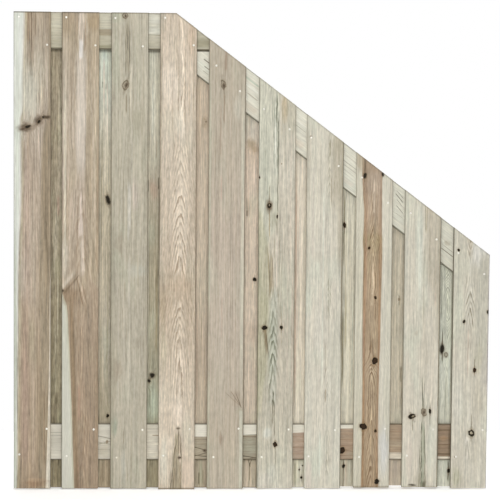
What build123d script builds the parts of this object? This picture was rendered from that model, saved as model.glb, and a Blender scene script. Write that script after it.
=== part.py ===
from build123d import *
import os
from math import atan, cos, hypot

os.makedirs("parts", exist_ok=True)

# Sloped timber fence panel. Front of the panel looks along -Y, the high side
# is at -X, Z is up. The origin is under the middle of the panel.

# ---- driving dimensions, mm ------------------------------------------------
panel_width = 1800.0
panel_height = 1800.0      # high side
low_height = 900.0         # low side, at +X
flat_top = 606.0           # level run of the top edge, from the high side
board_w = 138.0            # planed board, nominal 140
board_t = 15.0
edge_r = 2.5               # eased long edges
rail_w = 138.0
bottom_rail_z = 111.0      # lower edge of the bottom rail
rail_gap = 4.0             # saw gap between the top rail and the slope rail

screw_d = 4.0              # stainless raised-countersunk wood screw, 4 x 25
screw_len = 25.0
screw_head_d = 8.0
screw_dome = 0.9           # raised part of the head
screw_play = 0.05          # radial room round the screw in the timber
recess_d = 2.5             # six-lobe recess: core circle
recess_lobe_d = 0.9        # and the six lobes
recess_lobe_pcd = 2.75
recess_depth = 1.8

# ---- positions taken from the panel itself ---------------------------------
front_x = [-831.0, -651.0, -467.0, -285.0, -101.0, 88.0, 270.0, 458.0, 644.0, 831.0]
front_foot = [4.0, 4.0, 3.5, 0.0, 3.0, 4.0, 4.5, 6.5, 8.0, 4.5]
back_x = [-741.0, -559.0, -376.0, -193.0, -6.5, 179.0, 364.0, 551.0, 737.5]
back_foot = [3.0, 2.0, 2.5, 2.0, 1.5, 3.0, 5.0, 9.0, 5.0]

# screws of the front boards: offset from the board's middle, then the distance
# below the top edge (top rail and slope rail) or the height (bottom rail)
front_top = {
    0: [(-50.0, 20.0), (55.0, 123.0)],
    1: [(-53.6, 20.0), (54.8, 123.0)],
    2: [(-54.9, 21.0), (47.9, 125.0)],
    3: [(-51.4, 18.0), (56.0, 119.0)],
}
front_slope = {
    4: [(-42.7, 81.0), (46.7, 108.0)],
    5: [(-51.4, 105.8), (45.5, 107.7)],
    6: [(-54.3, 76.3), (50.0, 104.0)],
    7: [(-49.0, 80.0), (51.0, 99.0)],
    8: [(-47.8, 71.8), (52.0, 96.0)],
    9: [(-50.5, 84.0), (49.2, 87.5)],
}
front_bottom = {
    0: [(-48.2, 134.0), (55.1, 232.0)],
    1: [(-50.0, 128.0), (52.0, 229.5)],
    2: [(-45.0, 121.5), (52.5, 228.0)],
    3: [(-49.9, 129.5), (50.0, 231.0)],
    4: [(-43.8, 124.0), (51.3, 233.0)],
    5: [(-49.0, 124.5), (53.0, 230.0)],
    6: [(-52.0, 127.0), (48.0, 228.0)],
    7: [(-47.0, 125.0), (52.0, 233.0)],
    8: [(-50.0, 130.0), (50.0, 231.0)],
    9: [(-48.0, 126.0), (53.0, 229.0)],
}

# ---- derived ----------------------------------------------------------------
x_left = -panel_width / 2
x_right = panel_width / 2
slope_x = x_left + flat_top
slope = (panel_height - low_height) / (x_right - slope_x)
slope_drop = rail_w / cos(atan(slope))       # slope rail measured upright
top_rail_z = panel_height - rail_w
y_front = -board_t
y_back = board_t
face_front = -1.5 * board_t
face_back = 1.5 * board_t


def edge_z(x):
    """Height of the panel's top edge at x."""
    return panel_height if x <= slope_x else panel_height - (x - slope_x) * slope


def front_points(table, height):
    """Screw points of a table; height turns its second value into Z at x."""
    return [(front_x[i] + dx, height(front_x[i] + dx, d)) for i, pair in table.items() for dx, d in pair]


# screws of the back boards: the same diagonal pairs, seen from behind
back_top_points = []
back_slope_points = []
back_bottom_points = []
for i, x in enumerate(back_x):
    wob = (i * 37 % 11 - 5) * 0.7
    back_bottom_points += [(x - 54.0 + wob, 231.0 - wob), (x + 54.0 - wob, 128.0 + wob)]
    if i < 3:
        back_top_points += [(x - 54.0 + wob, panel_height - 122.0), (x + 54.0 - wob, panel_height - 21.0 + wob)]
    elif i == 3:
        # this board meets the end of the top rail and the head of the slope rail
        back_top_points += [(x - 50.0, panel_height - 112.0)]
        back_slope_points += [(x - 40.0, edge_z(x - 40.0) - 150.0), (x + 54.0, edge_z(x + 54.0) - 118.0)]
    else:
        back_slope_points += [(x - 54.0 + wob, edge_z(x - 54.0) - 112.0 + wob), (x + 54.0 - wob, edge_z(x + 54.0) - 78.0)]

front_top_points = front_points(front_top, lambda x, d: panel_height - d)
front_slope_points = front_points(front_slope, lambda x, d: edge_z(x) - d)
front_bottom_points = front_points(front_bottom, lambda x, d: d)


def front_planes(points):
    return [Plane(origin=(x, face_front, z), x_dir=(1, 0, 0), z_dir=(0, -1, 0)) for x, z in points]


def back_planes(points):
    return [Plane(origin=(x, face_back, z), x_dir=(-1, 0, 0), z_dir=(0, 1, 0)) for x, z in points]


all_front = front_top_points + front_slope_points + front_bottom_points
all_back = back_top_points + back_slope_points + back_bottom_points

# region above the sloped edge, removed from every board that reaches it
above_slope = [
    (slope_x, panel_height),
    (x_right + 60.0, panel_height - (x_right + 60.0 - slope_x) * slope),
    (x_right + 60.0, panel_height + 60.0),
    (slope_x, panel_height + 60.0),
]

cone_h = (screw_head_d - screw_d) / 2        # 90 degree countersunk head


def near(points, x, half):
    return [p for p in points if abs(p[0] - x) < half]


# ---- upright boards ---------------------------------------------------------
rows = [
    ("front_board", front_x, front_foot, y_front, all_front, front_planes),
    ("back_board", back_x, back_foot, y_back, all_back, back_planes),
]
for row_name, xs, feet, y_mid, points, planes in rows:
    for number, (x, foot) in enumerate(zip(xs, feet), 1):
        with BuildPart() as board:
            # planed section with eased long edges, run up from the foot
            with BuildSketch(Plane.XY.offset(foot)):
                with Locations((x, y_mid)):
                    RectangleRounded(board_w, board_t, edge_r)
            extrude(amount=panel_height - foot)
            # saw cut along the slope
            if x + board_w / 2 > slope_x:
                with BuildSketch(Plane.XZ):
                    with BuildLine():
                        Polyline(*above_slope, close=True)
                    make_face()
                extrude(amount=60.0, both=True, mode=Mode.SUBTRACT)
            # screw holes with their countersinks, from the outer face
            own = near(points, x, board_w / 2)
            with Locations(*planes(own)):
                CounterSinkHole(
                    radius=screw_d / 2 + screw_play,
                    counter_sink_radius=screw_head_d / 2 + screw_play,
                    depth=board_t + 1.0,
                    counter_sink_angle=90,
                )
        board.part.label = f"{row_name}_{number}"
        export_step(board.part, f"parts/{row_name}_{number}.step")

# ---- rails in the middle layer ----------------------------------------------
rail_hole_depth = board_t + (screw_len - board_t) + 0.6    # past the screw point


# bottom rail: full width, level
with BuildPart() as bottom_rail:
    with BuildSketch(Plane.YZ.offset(x_left)):
        with Locations((0, bottom_rail_z + rail_w / 2)):
            RectangleRounded(board_t, rail_w, edge_r)
    extrude(amount=panel_width)
    with Locations(*front_planes(front_bottom_points), *back_planes(back_bottom_points)):
        Hole(radius=screw_d / 2 + screw_play, depth=rail_hole_depth)
bottom_rail.part.label = "bottom_rail"
export_step(bottom_rail.part, "parts/bottom_rail.step")

# top rail: level, flush with the top edge, its end sawn along the slope
top_rail_end = slope_x + rail_w / slope
with BuildPart() as top_rail:
    with BuildSketch(Plane.YZ.offset(x_left)):
        with Locations((0, top_rail_z + rail_w / 2)):
            RectangleRounded(board_t, rail_w, edge_r)
    extrude(amount=top_rail_end + 5.0 - x_left)
    with BuildSketch(Plane.XZ):
        with BuildLine():
            Polyline(*above_slope, close=True)
        make_face()
    extrude(amount=60.0, both=True, mode=Mode.SUBTRACT)
    with Locations(*front_planes(front_top_points), *back_planes(back_top_points)):
        Hole(radius=screw_d / 2 + screw_play, depth=rail_hole_depth)
top_rail.part.label = "top_rail"
export_step(top_rail.part, "parts/top_rail.step")

# slope rail: runs down the slope, its head sawn level under the top rail
run = hypot(x_right - slope_x, panel_height - low_height)
along = ((x_right - slope_x) / run, 0.0, -(panel_height - low_height) / run)
slope_head_z = top_rail_z - rail_gap
with BuildPart() as slope_rail:
    start = Plane(
        origin=(slope_x - along[0] * 120.0, 0.0, panel_height - along[2] * 120.0),
        x_dir=(0, 1, 0),
        z_dir=along,
    )
    # the section's own Y axis points up and out of the slope
    up = 1.0 if start.y_dir.Z > 0 else -1.0
    with BuildSketch(start):
        with Locations((0, -up * rail_w / 2)):
            RectangleRounded(board_t, rail_w, edge_r)
    extrude(amount=run + 320.0)
    # level cut at the head, plumb cut at the low side
    with BuildSketch(Plane.XZ):
        with Locations((slope_x - 150.0, slope_head_z)):
            Rectangle(900.0, 400.0, align=(Align.CENTER, Align.MIN))
        with Locations((x_right, low_height - 200.0)):
            Rectangle(400.0, 900.0, align=(Align.MIN, Align.CENTER))
    extrude(amount=60.0, both=True, mode=Mode.SUBTRACT)
    with Locations(*front_planes(front_slope_points), *back_planes(back_slope_points)):
        Hole(radius=screw_d / 2 + screw_play, depth=rail_hole_depth)
slope_rail.part.label = "slope_rail"
export_step(slope_rail.part, "parts/slope_rail.step")

# ---- screws -----------------------------------------------------------------
# one screw, turned about its axis: domed head, 90 degree countersink, shank, point.
# local Z runs out of the timber, the head's rim lies on the face at 0
r_head = screw_head_d / 2
r_shank = screw_d / 2
with BuildPart() as screw:
    with BuildSketch(Plane.XZ):
        with BuildLine():
            ThreePointArc((0, screw_dome), (r_head * 0.55, screw_dome * 0.71), (r_head, 0))
            Polyline(
                (r_head, 0),
                (r_shank, -cone_h),
                (r_shank, -(screw_len - 4.0)),
                (0.35, -screw_len),
                (0, -screw_len),
                (0, screw_dome),
            )
        make_face()
    revolve(axis=Axis.Z)
    # six-lobe driver recess
    with BuildSketch(Plane.XY.offset(screw_dome - recess_depth)):
        Circle(recess_d / 2)
        with PolarLocations(recess_lobe_pcd / 2, 6):
            Circle(recess_lobe_d / 2)
    extrude(amount=recess_depth + 1.0, mode=Mode.SUBTRACT)

groups = [
    ("front_screws_top", front_planes(front_top_points)),
    ("front_screws_slope", front_planes(front_slope_points)),
    ("front_screws_bottom", front_planes(front_bottom_points)),
    ("back_screws_top", back_planes(back_top_points)),
    ("back_screws_slope", back_planes(back_slope_points)),
    ("back_screws_bottom", back_planes(back_bottom_points)),
]
for group_name, places in groups:
    with BuildPart() as screws:
        with Locations(*places):
            add(screw.part)
    screws.part.label = group_name
    export_step(screws.part, f"parts/{group_name}.step")
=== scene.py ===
import math

import bpy
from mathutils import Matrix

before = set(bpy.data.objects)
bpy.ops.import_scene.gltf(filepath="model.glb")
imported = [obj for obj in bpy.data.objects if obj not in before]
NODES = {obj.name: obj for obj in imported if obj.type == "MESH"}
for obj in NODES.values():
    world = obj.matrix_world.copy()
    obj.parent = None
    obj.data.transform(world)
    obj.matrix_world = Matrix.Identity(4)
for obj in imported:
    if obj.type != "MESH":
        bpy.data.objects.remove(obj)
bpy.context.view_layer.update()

RUN = math.hypot(1194.0, 900.0)
CA, SA = 1194.0 / RUN, 900.0 / RUN  # the slope of the top edge


# ---------------------------------------------------------------------------
# colours and small node helpers
# ---------------------------------------------------------------------------
def lin(rgb):
    """An sRGB colour, 0 to 255, as linear numbers."""
    out = []
    for v in rgb:
        v = v / 255.0
        out.append(v / 12.92 if v <= 0.04045 else ((v + 0.055) / 1.055) ** 2.4)
    return (out[0], out[1], out[2], 1.0)


class Tree:
    """Short calls for building a node tree."""

    def __init__(self, nt):
        self.nt = nt

    def put(self, socket, value):
        if isinstance(value, bpy.types.NodeSocket):
            self.nt.links.new(value, socket)
        elif value is not None:
            socket.default_value = value

    def m(self, op, a, b=None, c=None, clamp=False):
        n = self.nt.nodes.new("ShaderNodeMath")
        n.operation = op
        n.use_clamp = clamp
        self.put(n.inputs[0], a)
        self.put(n.inputs[1], b)
        self.put(n.inputs[2], c)
        return n.outputs[0]

    def add(self, a, b):
        return self.m("ADD", a, b)

    def mul(self, a, b):
        return self.m("MULTIPLY", a, b)

    def mad(self, a, b, c):
        return self.m("MULTIPLY_ADD", a, b, c)

    def sub(self, a, b):
        return self.m("SUBTRACT", a, b)

    def smooth(self, low, high, x):
        """0 at low, 1 at high, smooth between; low may be the larger."""
        n = self.nt.nodes.new("ShaderNodeMapRange")
        n.interpolation_type = "SMOOTHSTEP"
        self.put(n.inputs["Value"], x)
        if isinstance(low, (int, float)) and isinstance(high, (int, float)) and low > high:
            n.inputs["From Min"].default_value = high
            n.inputs["From Max"].default_value = low
            n.inputs["To Min"].default_value = 1.0
            n.inputs["To Max"].default_value = 0.0
        else:
            self.put(n.inputs["From Min"], low)
            self.put(n.inputs["From Max"], high)
        return n.outputs["Result"]

    def comb(self, x, y, z):
        n = self.nt.nodes.new("ShaderNodeCombineXYZ")
        self.put(n.inputs[0], x)
        self.put(n.inputs[1], y)
        self.put(n.inputs[2], z)
        return n.outputs[0]

    def noise(self, vec, detail=2.0, rough=0.5):
        n = self.nt.nodes.new("ShaderNodeTexNoise")
        n.noise_dimensions = "3D"
        self.put(n.inputs["Vector"], vec)
        n.inputs["Scale"].default_value = 1.0
        n.inputs["Detail"].default_value = detail
        n.inputs["Roughness"].default_value = rough
        return n.outputs["Fac"]

    def mix(self, fac, a, b, blend="MIX"):
        n = self.nt.nodes.new("ShaderNodeMix")
        n.data_type = "RGBA"
        n.blend_type = blend
        n.clamp_factor = True
        self.put(n.inputs[0], fac)
        self.put(n.inputs[6], a)
        self.put(n.inputs[7], b)
        return n.outputs[2]

    def scale(self, colour, by):
        n = self.nt.nodes.new("ShaderNodeVectorMath")
        n.operation = "SCALE"
        self.put(n.inputs[0], colour)
        self.put(n.inputs["Scale"], by)
        return n.outputs[0]

    def group(self, tree, **values):
        n = self.nt.nodes.new("ShaderNodeGroup")
        n.node_tree = tree
        for key, value in values.items():
            self.put(n.inputs[key], value)
        return n.outputs


def new_group(name, inputs, outputs):
    g = bpy.data.node_groups.new(name, "ShaderNodeTree")
    for key, default in inputs:
        s = g.interface.new_socket(name=key, in_out="INPUT", socket_type="NodeSocketFloat")
        s.default_value = default
    for key in outputs:
        g.interface.new_socket(name=key, in_out="OUTPUT", socket_type="NodeSocketFloat")
    gi = g.nodes.new("NodeGroupInput")
    go = g.nodes.new("NodeGroupOutput")
    return g, Tree(g), gi.outputs, go.inputs


# ---------------------------------------------------------------------------
# node groups: the grain of one board, a stroke along the grain, a knot
# ---------------------------------------------------------------------------
def make_grain():
    """Growth rings round a leaning pith, cut by the board, and the fibres along it. All lengths in mm."""
    g, t, i, o = new_group(
        "pine_grain",
        [("U", 0), ("V", 0), ("W", 0), ("Seed", 0), ("Pu", 0), ("Ps", 0), ("D0", 60), ("Ds", 0), ("Space", 5),
         ("Wave", 4), ("Wob", 2), ("Rough", 0.5), ("Deep", 0), ("Lift", 0), ("Bump", 0)],
        ["Late", "Fine", "Mid", "Tone", "Blotch", "Dash", "Fleck", "Line", "Speck"],
    )
    U, V, W, S = i["U"], i["V"], i["W"], i["Seed"]
    n1 = t.noise(t.comb(t.mad(U, 0.008, S), t.mul(V, 0.0016), t.mad(W, 0.008, S)), 1.0)
    n2 = t.noise(t.comb(t.mad(U, 0.03, S), t.mad(V, 0.009, 7.3), t.mul(W, 0.03)), 3.0)
    uw = t.mad(t.sub(n1, 0.5), t.mul(i["Wave"], 3.0), U)
    uw = t.mad(t.sub(n2, 0.5), t.mul(i["Wob"], 3.2), uw)
    vk = t.mul(V, 0.001)
    du = t.sub(t.sub(uw, i["Pu"]), t.mul(i["Ps"], vk))
    n4 = t.noise(t.comb(t.mad(U, 0.004, S), t.mad(V, 0.0055, S), 3.7), 2.0)
    dd = t.add(t.mad(i["Ds"], vk, i["D0"]), W)
    dd = t.mad(t.sub(n4, 0.5), t.mul(i["Deep"], 3.0), dd)
    r = t.m("SQRT", t.add(t.mul(du, du), t.mul(dd, dd)))
    n3 = t.noise(t.comb(t.mad(U, 0.11, S), t.mul(V, 0.035), t.mul(W, 0.11)), 2.0)
    r = t.mad(t.sub(n3, 0.5), t.mul(i["Rough"], 4.0), r)
    r = t.add(t.add(r, i["Lift"]), i["Bump"])
    ph = t.add(t.m("DIVIDE", r, i["Space"]), S)
    fr = t.m("FRACT", ph)
    late = t.mul(t.smooth(0.22, 0.8, fr), t.smooth(1.0, 0.88, fr))
    wn = g.nodes.new("ShaderNodeTexWhiteNoise")
    wn.noise_dimensions = "1D"
    t.put(wn.inputs["W"], t.m("FLOOR", ph))
    late = t.mul(late, t.mad(wn.outputs["Value"], 0.7, 0.3))
    mid = t.noise(t.comb(t.mad(uw, 0.15, S), t.mad(V, 0.0052, 3.1), t.mul(W, 0.15)), 3.0, 0.6)
    t.put(o["Late"], t.mul(late, t.smooth(0.25, 0.6, mid)))
    t.put(o["Mid"], mid)
    t.put(o["Fine"], t.noise(t.comb(t.mad(uw, 0.6, S), t.mul(V, 0.016), t.mul(W, 0.6)), 2.0))
    t.put(o["Tone"], t.noise(t.comb(t.mad(uw, 0.05, S), t.mad(V, 0.0018, 5.7), t.mul(W, 0.05)), 3.0))
    t.put(o["Blotch"], t.noise(t.comb(t.mad(U, 0.013, S), t.mad(V, 0.0042, 9.1), t.mul(W, 0.013)), 3.0))
    dn = t.noise(t.comb(t.mad(uw, 0.3, S), t.mad(V, 0.014, 1.9), t.mul(W, 0.3)), 1.0)
    t.put(o["Dash"], t.smooth(0.6, 0.72, dn))
    t.put(o["Fleck"], t.smooth(0.42, 0.3, dn))
    t.put(o["Line"], t.noise(t.comb(t.mad(uw, 0.085, t.mad(S, 1.7, 4.1)), t.mul(V, 0.0021), t.mul(W, 0.085)), 2.0, 0.6))
    t.put(o["Speck"], t.noise(t.comb(t.mad(uw, 0.12, t.mad(S, 0.6, 8.3)), t.mul(V, 0.04), t.mul(W, 0.12)), 2.0, 0.6))
    return g


def make_stroke():
    """A soft streak along the grain from V0 down to V1, with an uneven line and tapering width."""
    g, t, i, o = new_group(
        "grain_stroke",
        [("U", 0), ("V", 0), ("U0", 0), ("V0", 1), ("V1", 0), ("Slant", 0), ("Half", 5), ("Soft", 0.8),
         ("Top", 1), ("Wob", 1.5), ("Seed", 0), ("FadeA", 0.2), ("FadeB", 0.2)],
        ["Mask"],
    )
    U, V = i["U"], i["V"]
    drop = t.sub(i["V0"], V)
    k = t.m("DIVIDE", drop, t.sub(i["V0"], i["V1"]))
    n = t.noise(t.comb(t.mad(U, 0.05, i["Seed"]), t.mad(V, 0.02, i["Seed"]), 0.5), 2.0)
    uc = t.mad(i["Slant"], t.mul(drop, 0.001), i["U0"])
    uc = t.mad(t.sub(n, 0.5), t.mul(i["Wob"], 2.0), uc)
    half = t.mul(i["Half"], t.add(i["Top"], t.mul(t.sub(1.0, i["Top"]), k)))
    x = t.m("DIVIDE", t.m("ABSOLUTE", t.sub(U, uc)), t.m("MAXIMUM", half, 0.2))
    a = t.sub(1.0, t.smooth(t.sub(1.0, i["Soft"]), 1.0, x))
    e = t.mul(t.smooth(0.0, i["FadeA"], k), t.sub(1.0, t.smooth(t.sub(1.0, i["FadeB"]), 1.0, k)))
    t.put(o["Mask"], t.mul(a, e))
    return g


def make_knot():
    """Distance from a knot's middle in knot radii, with an uneven outline, and how far it bends the rings."""
    g, t, i, o = new_group(
        "knot",
        [("U", 0), ("V", 0), ("Uk", 0), ("Vk", 0), ("R", 8), ("Tall", 1.2), ("Cos", 1), ("Sin", 0), ("Bend", 8), ("Seed", 0)],
        ["D", "Bump", "Tail"],
    )
    a = t.sub(i["U"], i["Uk"])
    b = t.sub(i["V"], i["Vk"])
    x = t.m("DIVIDE", t.add(t.mul(a, i["Cos"]), t.mul(b, i["Sin"])), i["R"])
    y = t.m("DIVIDE", t.sub(t.mul(b, i["Cos"]), t.mul(a, i["Sin"])), t.mul(i["R"], i["Tall"]))
    n = t.noise(t.comb(t.mad(x, 0.9, i["Seed"]), t.mul(y, 0.9), 2.2), 3.0, 0.6)
    d = t.m("SQRT", t.add(t.mul(x, x), t.mul(y, y)))
    t.put(o["D"], t.mad(t.sub(n, 0.5), 1.4, d))
    xt, yt = t.mul(x, 1.7), t.mul(y, 0.3)
    lens = t.m("SQRT", t.add(t.mul(xt, xt), t.mul(yt, yt)))
    t.put(o["Tail"], t.smooth(1.15, 0.2, t.mad(t.sub(n, 0.5), 1.5, lens)))
    yl = t.mul(y, 0.4)
    far = t.add(t.mul(x, x), t.mul(yl, yl))
    t.put(o["Bump"], t.mul(i["Bend"], t.m("POWER", 2.718, t.mul(far, -0.35))))
    return g


GRAIN, STROKE, KNOT = make_grain(), make_stroke(), make_knot()


# ---------------------------------------------------------------------------
# one board's material
# ---------------------------------------------------------------------------
def ramp(t, x, stops):
    n = t.nt.nodes.new("ShaderNodeValToRGB")
    t.put(n.inputs["Fac"], x)
    e = n.color_ramp.elements
    stops = sorted(stops)
    e[0].position, e[0].color = stops[0][0], lin(stops[0][1])
    e[1].position, e[1].color = stops[-1][0], lin(stops[-1][1])
    for pos, rgb in stops[1:-1]:
        k = e.new(pos)
        k.color = lin(rgb)
    return n.outputs["Color"]


def curve(t, x, points, low=-120.0, high=120.0):
    """A smooth line through (length along, value), both in mm."""
    n = t.nt.nodes.new("ShaderNodeFloatCurve")
    t.put(n.inputs["Value"], x)
    c = n.mapping.curves[0]
    pts = sorted((v / 1800.0, (u - low) / (high - low)) for v, u in points)
    c.points[0].location, c.points[1].location = pts[0], pts[-1]
    for p in pts[1:-1]:
        c.points.new(*p)
    for p in c.points:
        p.handle_type = "AUTO_CLAMPED"
    n.mapping.update()
    return t.mad(n.outputs["Value"], high - low, low)


def wood(name, b):
    """The material of one board or rail from its list of tones, grain, streaks and knots."""
    mat = bpy.data.materials.new(name)
    mat.use_nodes = True
    nt = mat.node_tree
    nt.nodes.clear()
    t = Tree(nt)
    out = nt.nodes.new("ShaderNodeOutputMaterial")
    bsdf = nt.nodes.new("ShaderNodeBsdfPrincipled")
    nt.links.new(bsdf.outputs[0], out.inputs["Surface"])
    pos = nt.nodes.new("ShaderNodeTexCoord").outputs["Object"]
    geo = nt.nodes.new("ShaderNodeNewGeometry")

    def along(vector, axis, offset):
        n = nt.nodes.new("ShaderNodeVectorMath")
        n.operation = "DOT_PRODUCT"
        t.put(n.inputs[0], vector)
        n.inputs[1].default_value = axis
        return t.add(n.outputs["Value"], offset) if offset is not None else n.outputs["Value"]

    au, av, ou, ov = b["axes"]
    U = along(pos, tuple(1000.0 * k for k in au), ou)
    V = along(pos, tuple(1000.0 * k for k in av), ov)
    W = along(pos, (0.0, 1000.0, 0.0), -b["y"])
    seed = float(b["seed"])

    def after(last):
        """The place on the board, worked out only once the last mark is done, so that few values wait at a time."""
        return dict(U=U, V=V) if last is None else dict(U=t.mad(last, 1e-9, U), V=t.mad(last, 1e-9, V))

    # knots first, because they bend the rings
    def knot(j, place):
        u, v, r, tall, tilt, kind = b["knots"][j]
        return t.group(KNOT, **place, Uk=u, Vk=v, R=r, Tall=tall, Cos=math.cos(math.radians(tilt)),
                       Sin=math.sin(math.radians(tilt)), Bend=b.get("bend", 9.0), Seed=seed + j * 1.7)

    bump, last = 0.0, None
    for j in range(len(b.get("knots", []))):
        k = knot(j, after(last))
        last = k["Bump"]
        bump = last if j == 0 else t.add(bump, last)
    ring = dict(Pu=-150.0, Ps=0.0, D0=80.0, Ds=0.0, Space=4.5, Wave=4.0, Wob=1.6, Rough=0.5, Deep=0.0)
    ring.update(b.get("ring", {}))
    v01 = t.mul(V, 1.0 / 1800.0)
    lift = curve(t, v01, b["lift"], 0.0, 600.0) if "lift" in b else 0.0
    g = t.group(GRAIN, U=U, V=V, W=W, Seed=seed, Bump=bump, Lift=lift, **ring)

    # ground tones down the length, a second tone in streaks, green blotches
    col = ramp(t, v01, [(z / 1800.0, rgb) for z, rgb in b["ground"]])
    alt, amount = b["alt"]
    col = t.mix(t.mul(t.smooth(0.35, 0.68, g["Tone"]), amount), col, lin(alt))
    green, amount = b.get("green", ((190, 198, 172), 0.25))
    col = t.mix(t.mul(t.smooth(0.5, 0.72, g["Blotch"]), amount), col, lin(green))

    # sapwood and heartwood fields with drawn borders; a calm field shows less grain
    quiet = None
    for band in b.get("bands", []):
        edge = curve(t, v01, band["line"])
        away = t.sub(edge, U) if band["side"] == "L" else t.sub(U, edge)
        away = t.mad(t.sub(g["Mid"], 0.5), band.get("wob", 5.0), away)
        mask = t.smooth(-band["soft"], band["soft"], away)
        first, second = band["tones"]
        tone = t.mix(t.smooth(0.38, 0.62, g["Tone"]), lin(first), lin(second))
        col = t.mix(t.mul(mask, band.get("amount", 1.0)), col, tone)
        if "calm" in band:
            less = t.mad(mask, -band["calm"], 1.0)
            quiet = less if quiet is None else t.mul(quiet, less)
        if "rim" in band:
            tint, amount, centre, half = band["rim"]
            line = t.m("ABSOLUTE", t.sub(away, centre))
            col = t.mix(t.mul(t.smooth(half, 0.0, line), amount), col, lin(tint))

    # soft patches
    last = g["Dash"]
    for j, (u, v, ru, rv, rgb, amount) in enumerate(b.get("patches", [])):
        k = t.group(KNOT, **after(last), Uk=u, Vk=v, R=ru, Tall=rv / ru, Bend=0.0, Seed=seed + 40.0 + j * 1.3)
        last = t.mul(t.smooth(1.35, 0.35, k["D"]), amount)
        col = t.mix(last, col, lin(rgb))

    # streaks painted along the grain; a few of them are painted shade at the seams, the feet and the rails, and one is
    # painted light, each marked where it is listed
    for j, s in enumerate(b.get("strokes", [])):
        u, v0, v1, half, rgb, amount = s[:6]
        more = s[6] if len(s) > 6 else {}
        k = t.group(STROKE, **after(last), U0=u, V0=v0, V1=v1, Half=half, Seed=seed + j * 2.3, **{
            key: more[key] for key in ("Slant", "Soft", "Top", "Wob", "FadeA", "FadeB") if key in more})
        fac = t.mul(k["Mask"], amount)
        if more.get("broken"):
            fac = t.mul(fac, t.smooth(0.5 - more["broken"], 0.62, g["Mid"]))
        # front: the mark stays on the front face only; it carries the painted shadow under the top rail
        if more.get("front"):
            fac = t.mul(fac, t.smooth(-2.0, -6.0, W))
        col = t.mix(fac, col, lin(rgb))
        if "calm" in more:
            less = t.mad(fac, -more["calm"], 1.0)
            quiet = less if quiet is None else t.mul(quiet, less)
        last = fac

    # growth rings, fibres, resin dashes
    late, amount = b.get("late", ((150, 130, 104), 0.35))
    shown = b.get("side", 1.0)
    for j, (u, v0, v1, half, much) in enumerate(b.get("arches", [])):
        k = t.group(STROKE, **after(last), U0=u, V0=v0, V1=v1, Half=half, Seed=seed + 70.0 + j, Soft=0.8, FadeA=0.1, FadeB=0.1)
        last = k["Mask"]
        shown = t.m("MAXIMUM", shown, t.mul(k["Mask"], much))
    if "early" in b:
        col = t.mix(t.mul(t.mul(t.sub(1.0, g["Late"]), shown), b["early"][1]), col, lin(b["early"][0]))
    lines = t.mul(g["Late"], t.mul(shown, amount) if b.get("arches") else amount * shown)
    if quiet is not None:
        lines = t.mul(lines, quiet)
    col = t.mix(lines, col, lin(late))
    # gain scales the whole piece's brightness; on the back boards it is painted light that lifts them against the shade
    # they get between the front boards
    tone = t.mad(t.sub(g["Mid"], 0.5), 2.6 * b.get("mid", 0.5), b.get("gain", 1.0))
    tone = t.mad(t.sub(g["Fine"], 0.5), 3.0 * b.get("fine", 0.3), tone)
    tone = t.mad(g["Fleck"], b.get("fleck", 0.10), tone)
    tone = t.mad(t.sub(g["Line"], 0.5), b.get("line", 0.5), tone)
    tone = t.mad(t.sub(g["Speck"], 0.5), b.get("speck", 0.4), tone)
    dashes = t.mul(g["Dash"], b.get("dash", 0.25))
    if quiet is not None:
        gain = b.get("gain", 1.0)
        tone = t.mad(t.sub(tone, gain), quiet, gain)
        dashes = t.mul(dashes, quiet)
    col = t.scale(col, tone)
    col = t.mix(dashes, col, lin(b.get("dash_tone", (122, 106, 82))))

    # knots
    height = t.mad(g["Fine"], 0.5, t.mul(g["Mid"], 0.5))
    last = g["Dash"]
    for j in range(len(b.get("knots", []))):
        k = knot(j, after(last))
        d, tail, kind = k["D"], k["Tail"], b["knots"][j][5]
        core, rim, halo, strong = {
            "dark": ((58, 42, 27), (36, 27, 18), (148, 120, 84), 1.0),
            "black": ((32, 27, 19), (44, 35, 24), (140, 120, 90), 1.0),
            "ring": ((186, 174, 150), (44, 38, 27), (166, 152, 124), 1.0),
            "loop": ((168, 158, 136), (98, 85, 65), (172, 162, 140), 0.8),
            "faint": ((146, 132, 108), (132, 116, 92), (180, 168, 144), 0.7),
            "blot": ((34, 29, 21), (52, 43, 33), (140, 121, 95), 0.97),
            "smear": ((70, 57, 44), (98, 82, 65), (152, 134, 112), 0.85),
            "pale": ((196, 188, 166), (150, 138, 112), (90, 80, 62), 0.9),
        }[kind]
        col = t.mix(t.mul(tail, 0.55 * strong), col, lin(tuple(0.72 * v for v in halo)))
        col = t.mix(t.mul(t.smooth(2.0, 0.9, d), 0.45 * strong), col, lin(halo))
        if kind in ("smear", "blot"):
            reach = t.smooth(1.7, 0.2, d) if kind == "smear" else t.smooth(1.35, 0.6, d)
            col = t.mix(t.mul(reach, strong), col, lin(core))
        else:
            plain = col
            col = t.mix(t.mul(t.smooth(1.2, 0.92, d), strong), col, lin(rim))
            ripple = t.m("SINE", t.mul(d, 19.0))
            inner = t.mix(t.mad(ripple, 0.2, 0.2), lin(core), lin(rim))
            if kind == "loop":
                inner = t.mix(0.3, plain, inner)
            hollow = (0.58, 0.3) if kind == "ring" else (0.82, 0.58)
            col = t.mix(t.mul(t.smooth(hollow[0], hollow[1], d), strong), col, inner)
        height = t.mad(t.smooth(1.3, 0.8, d), 0.6, height)
        last = height
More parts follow.
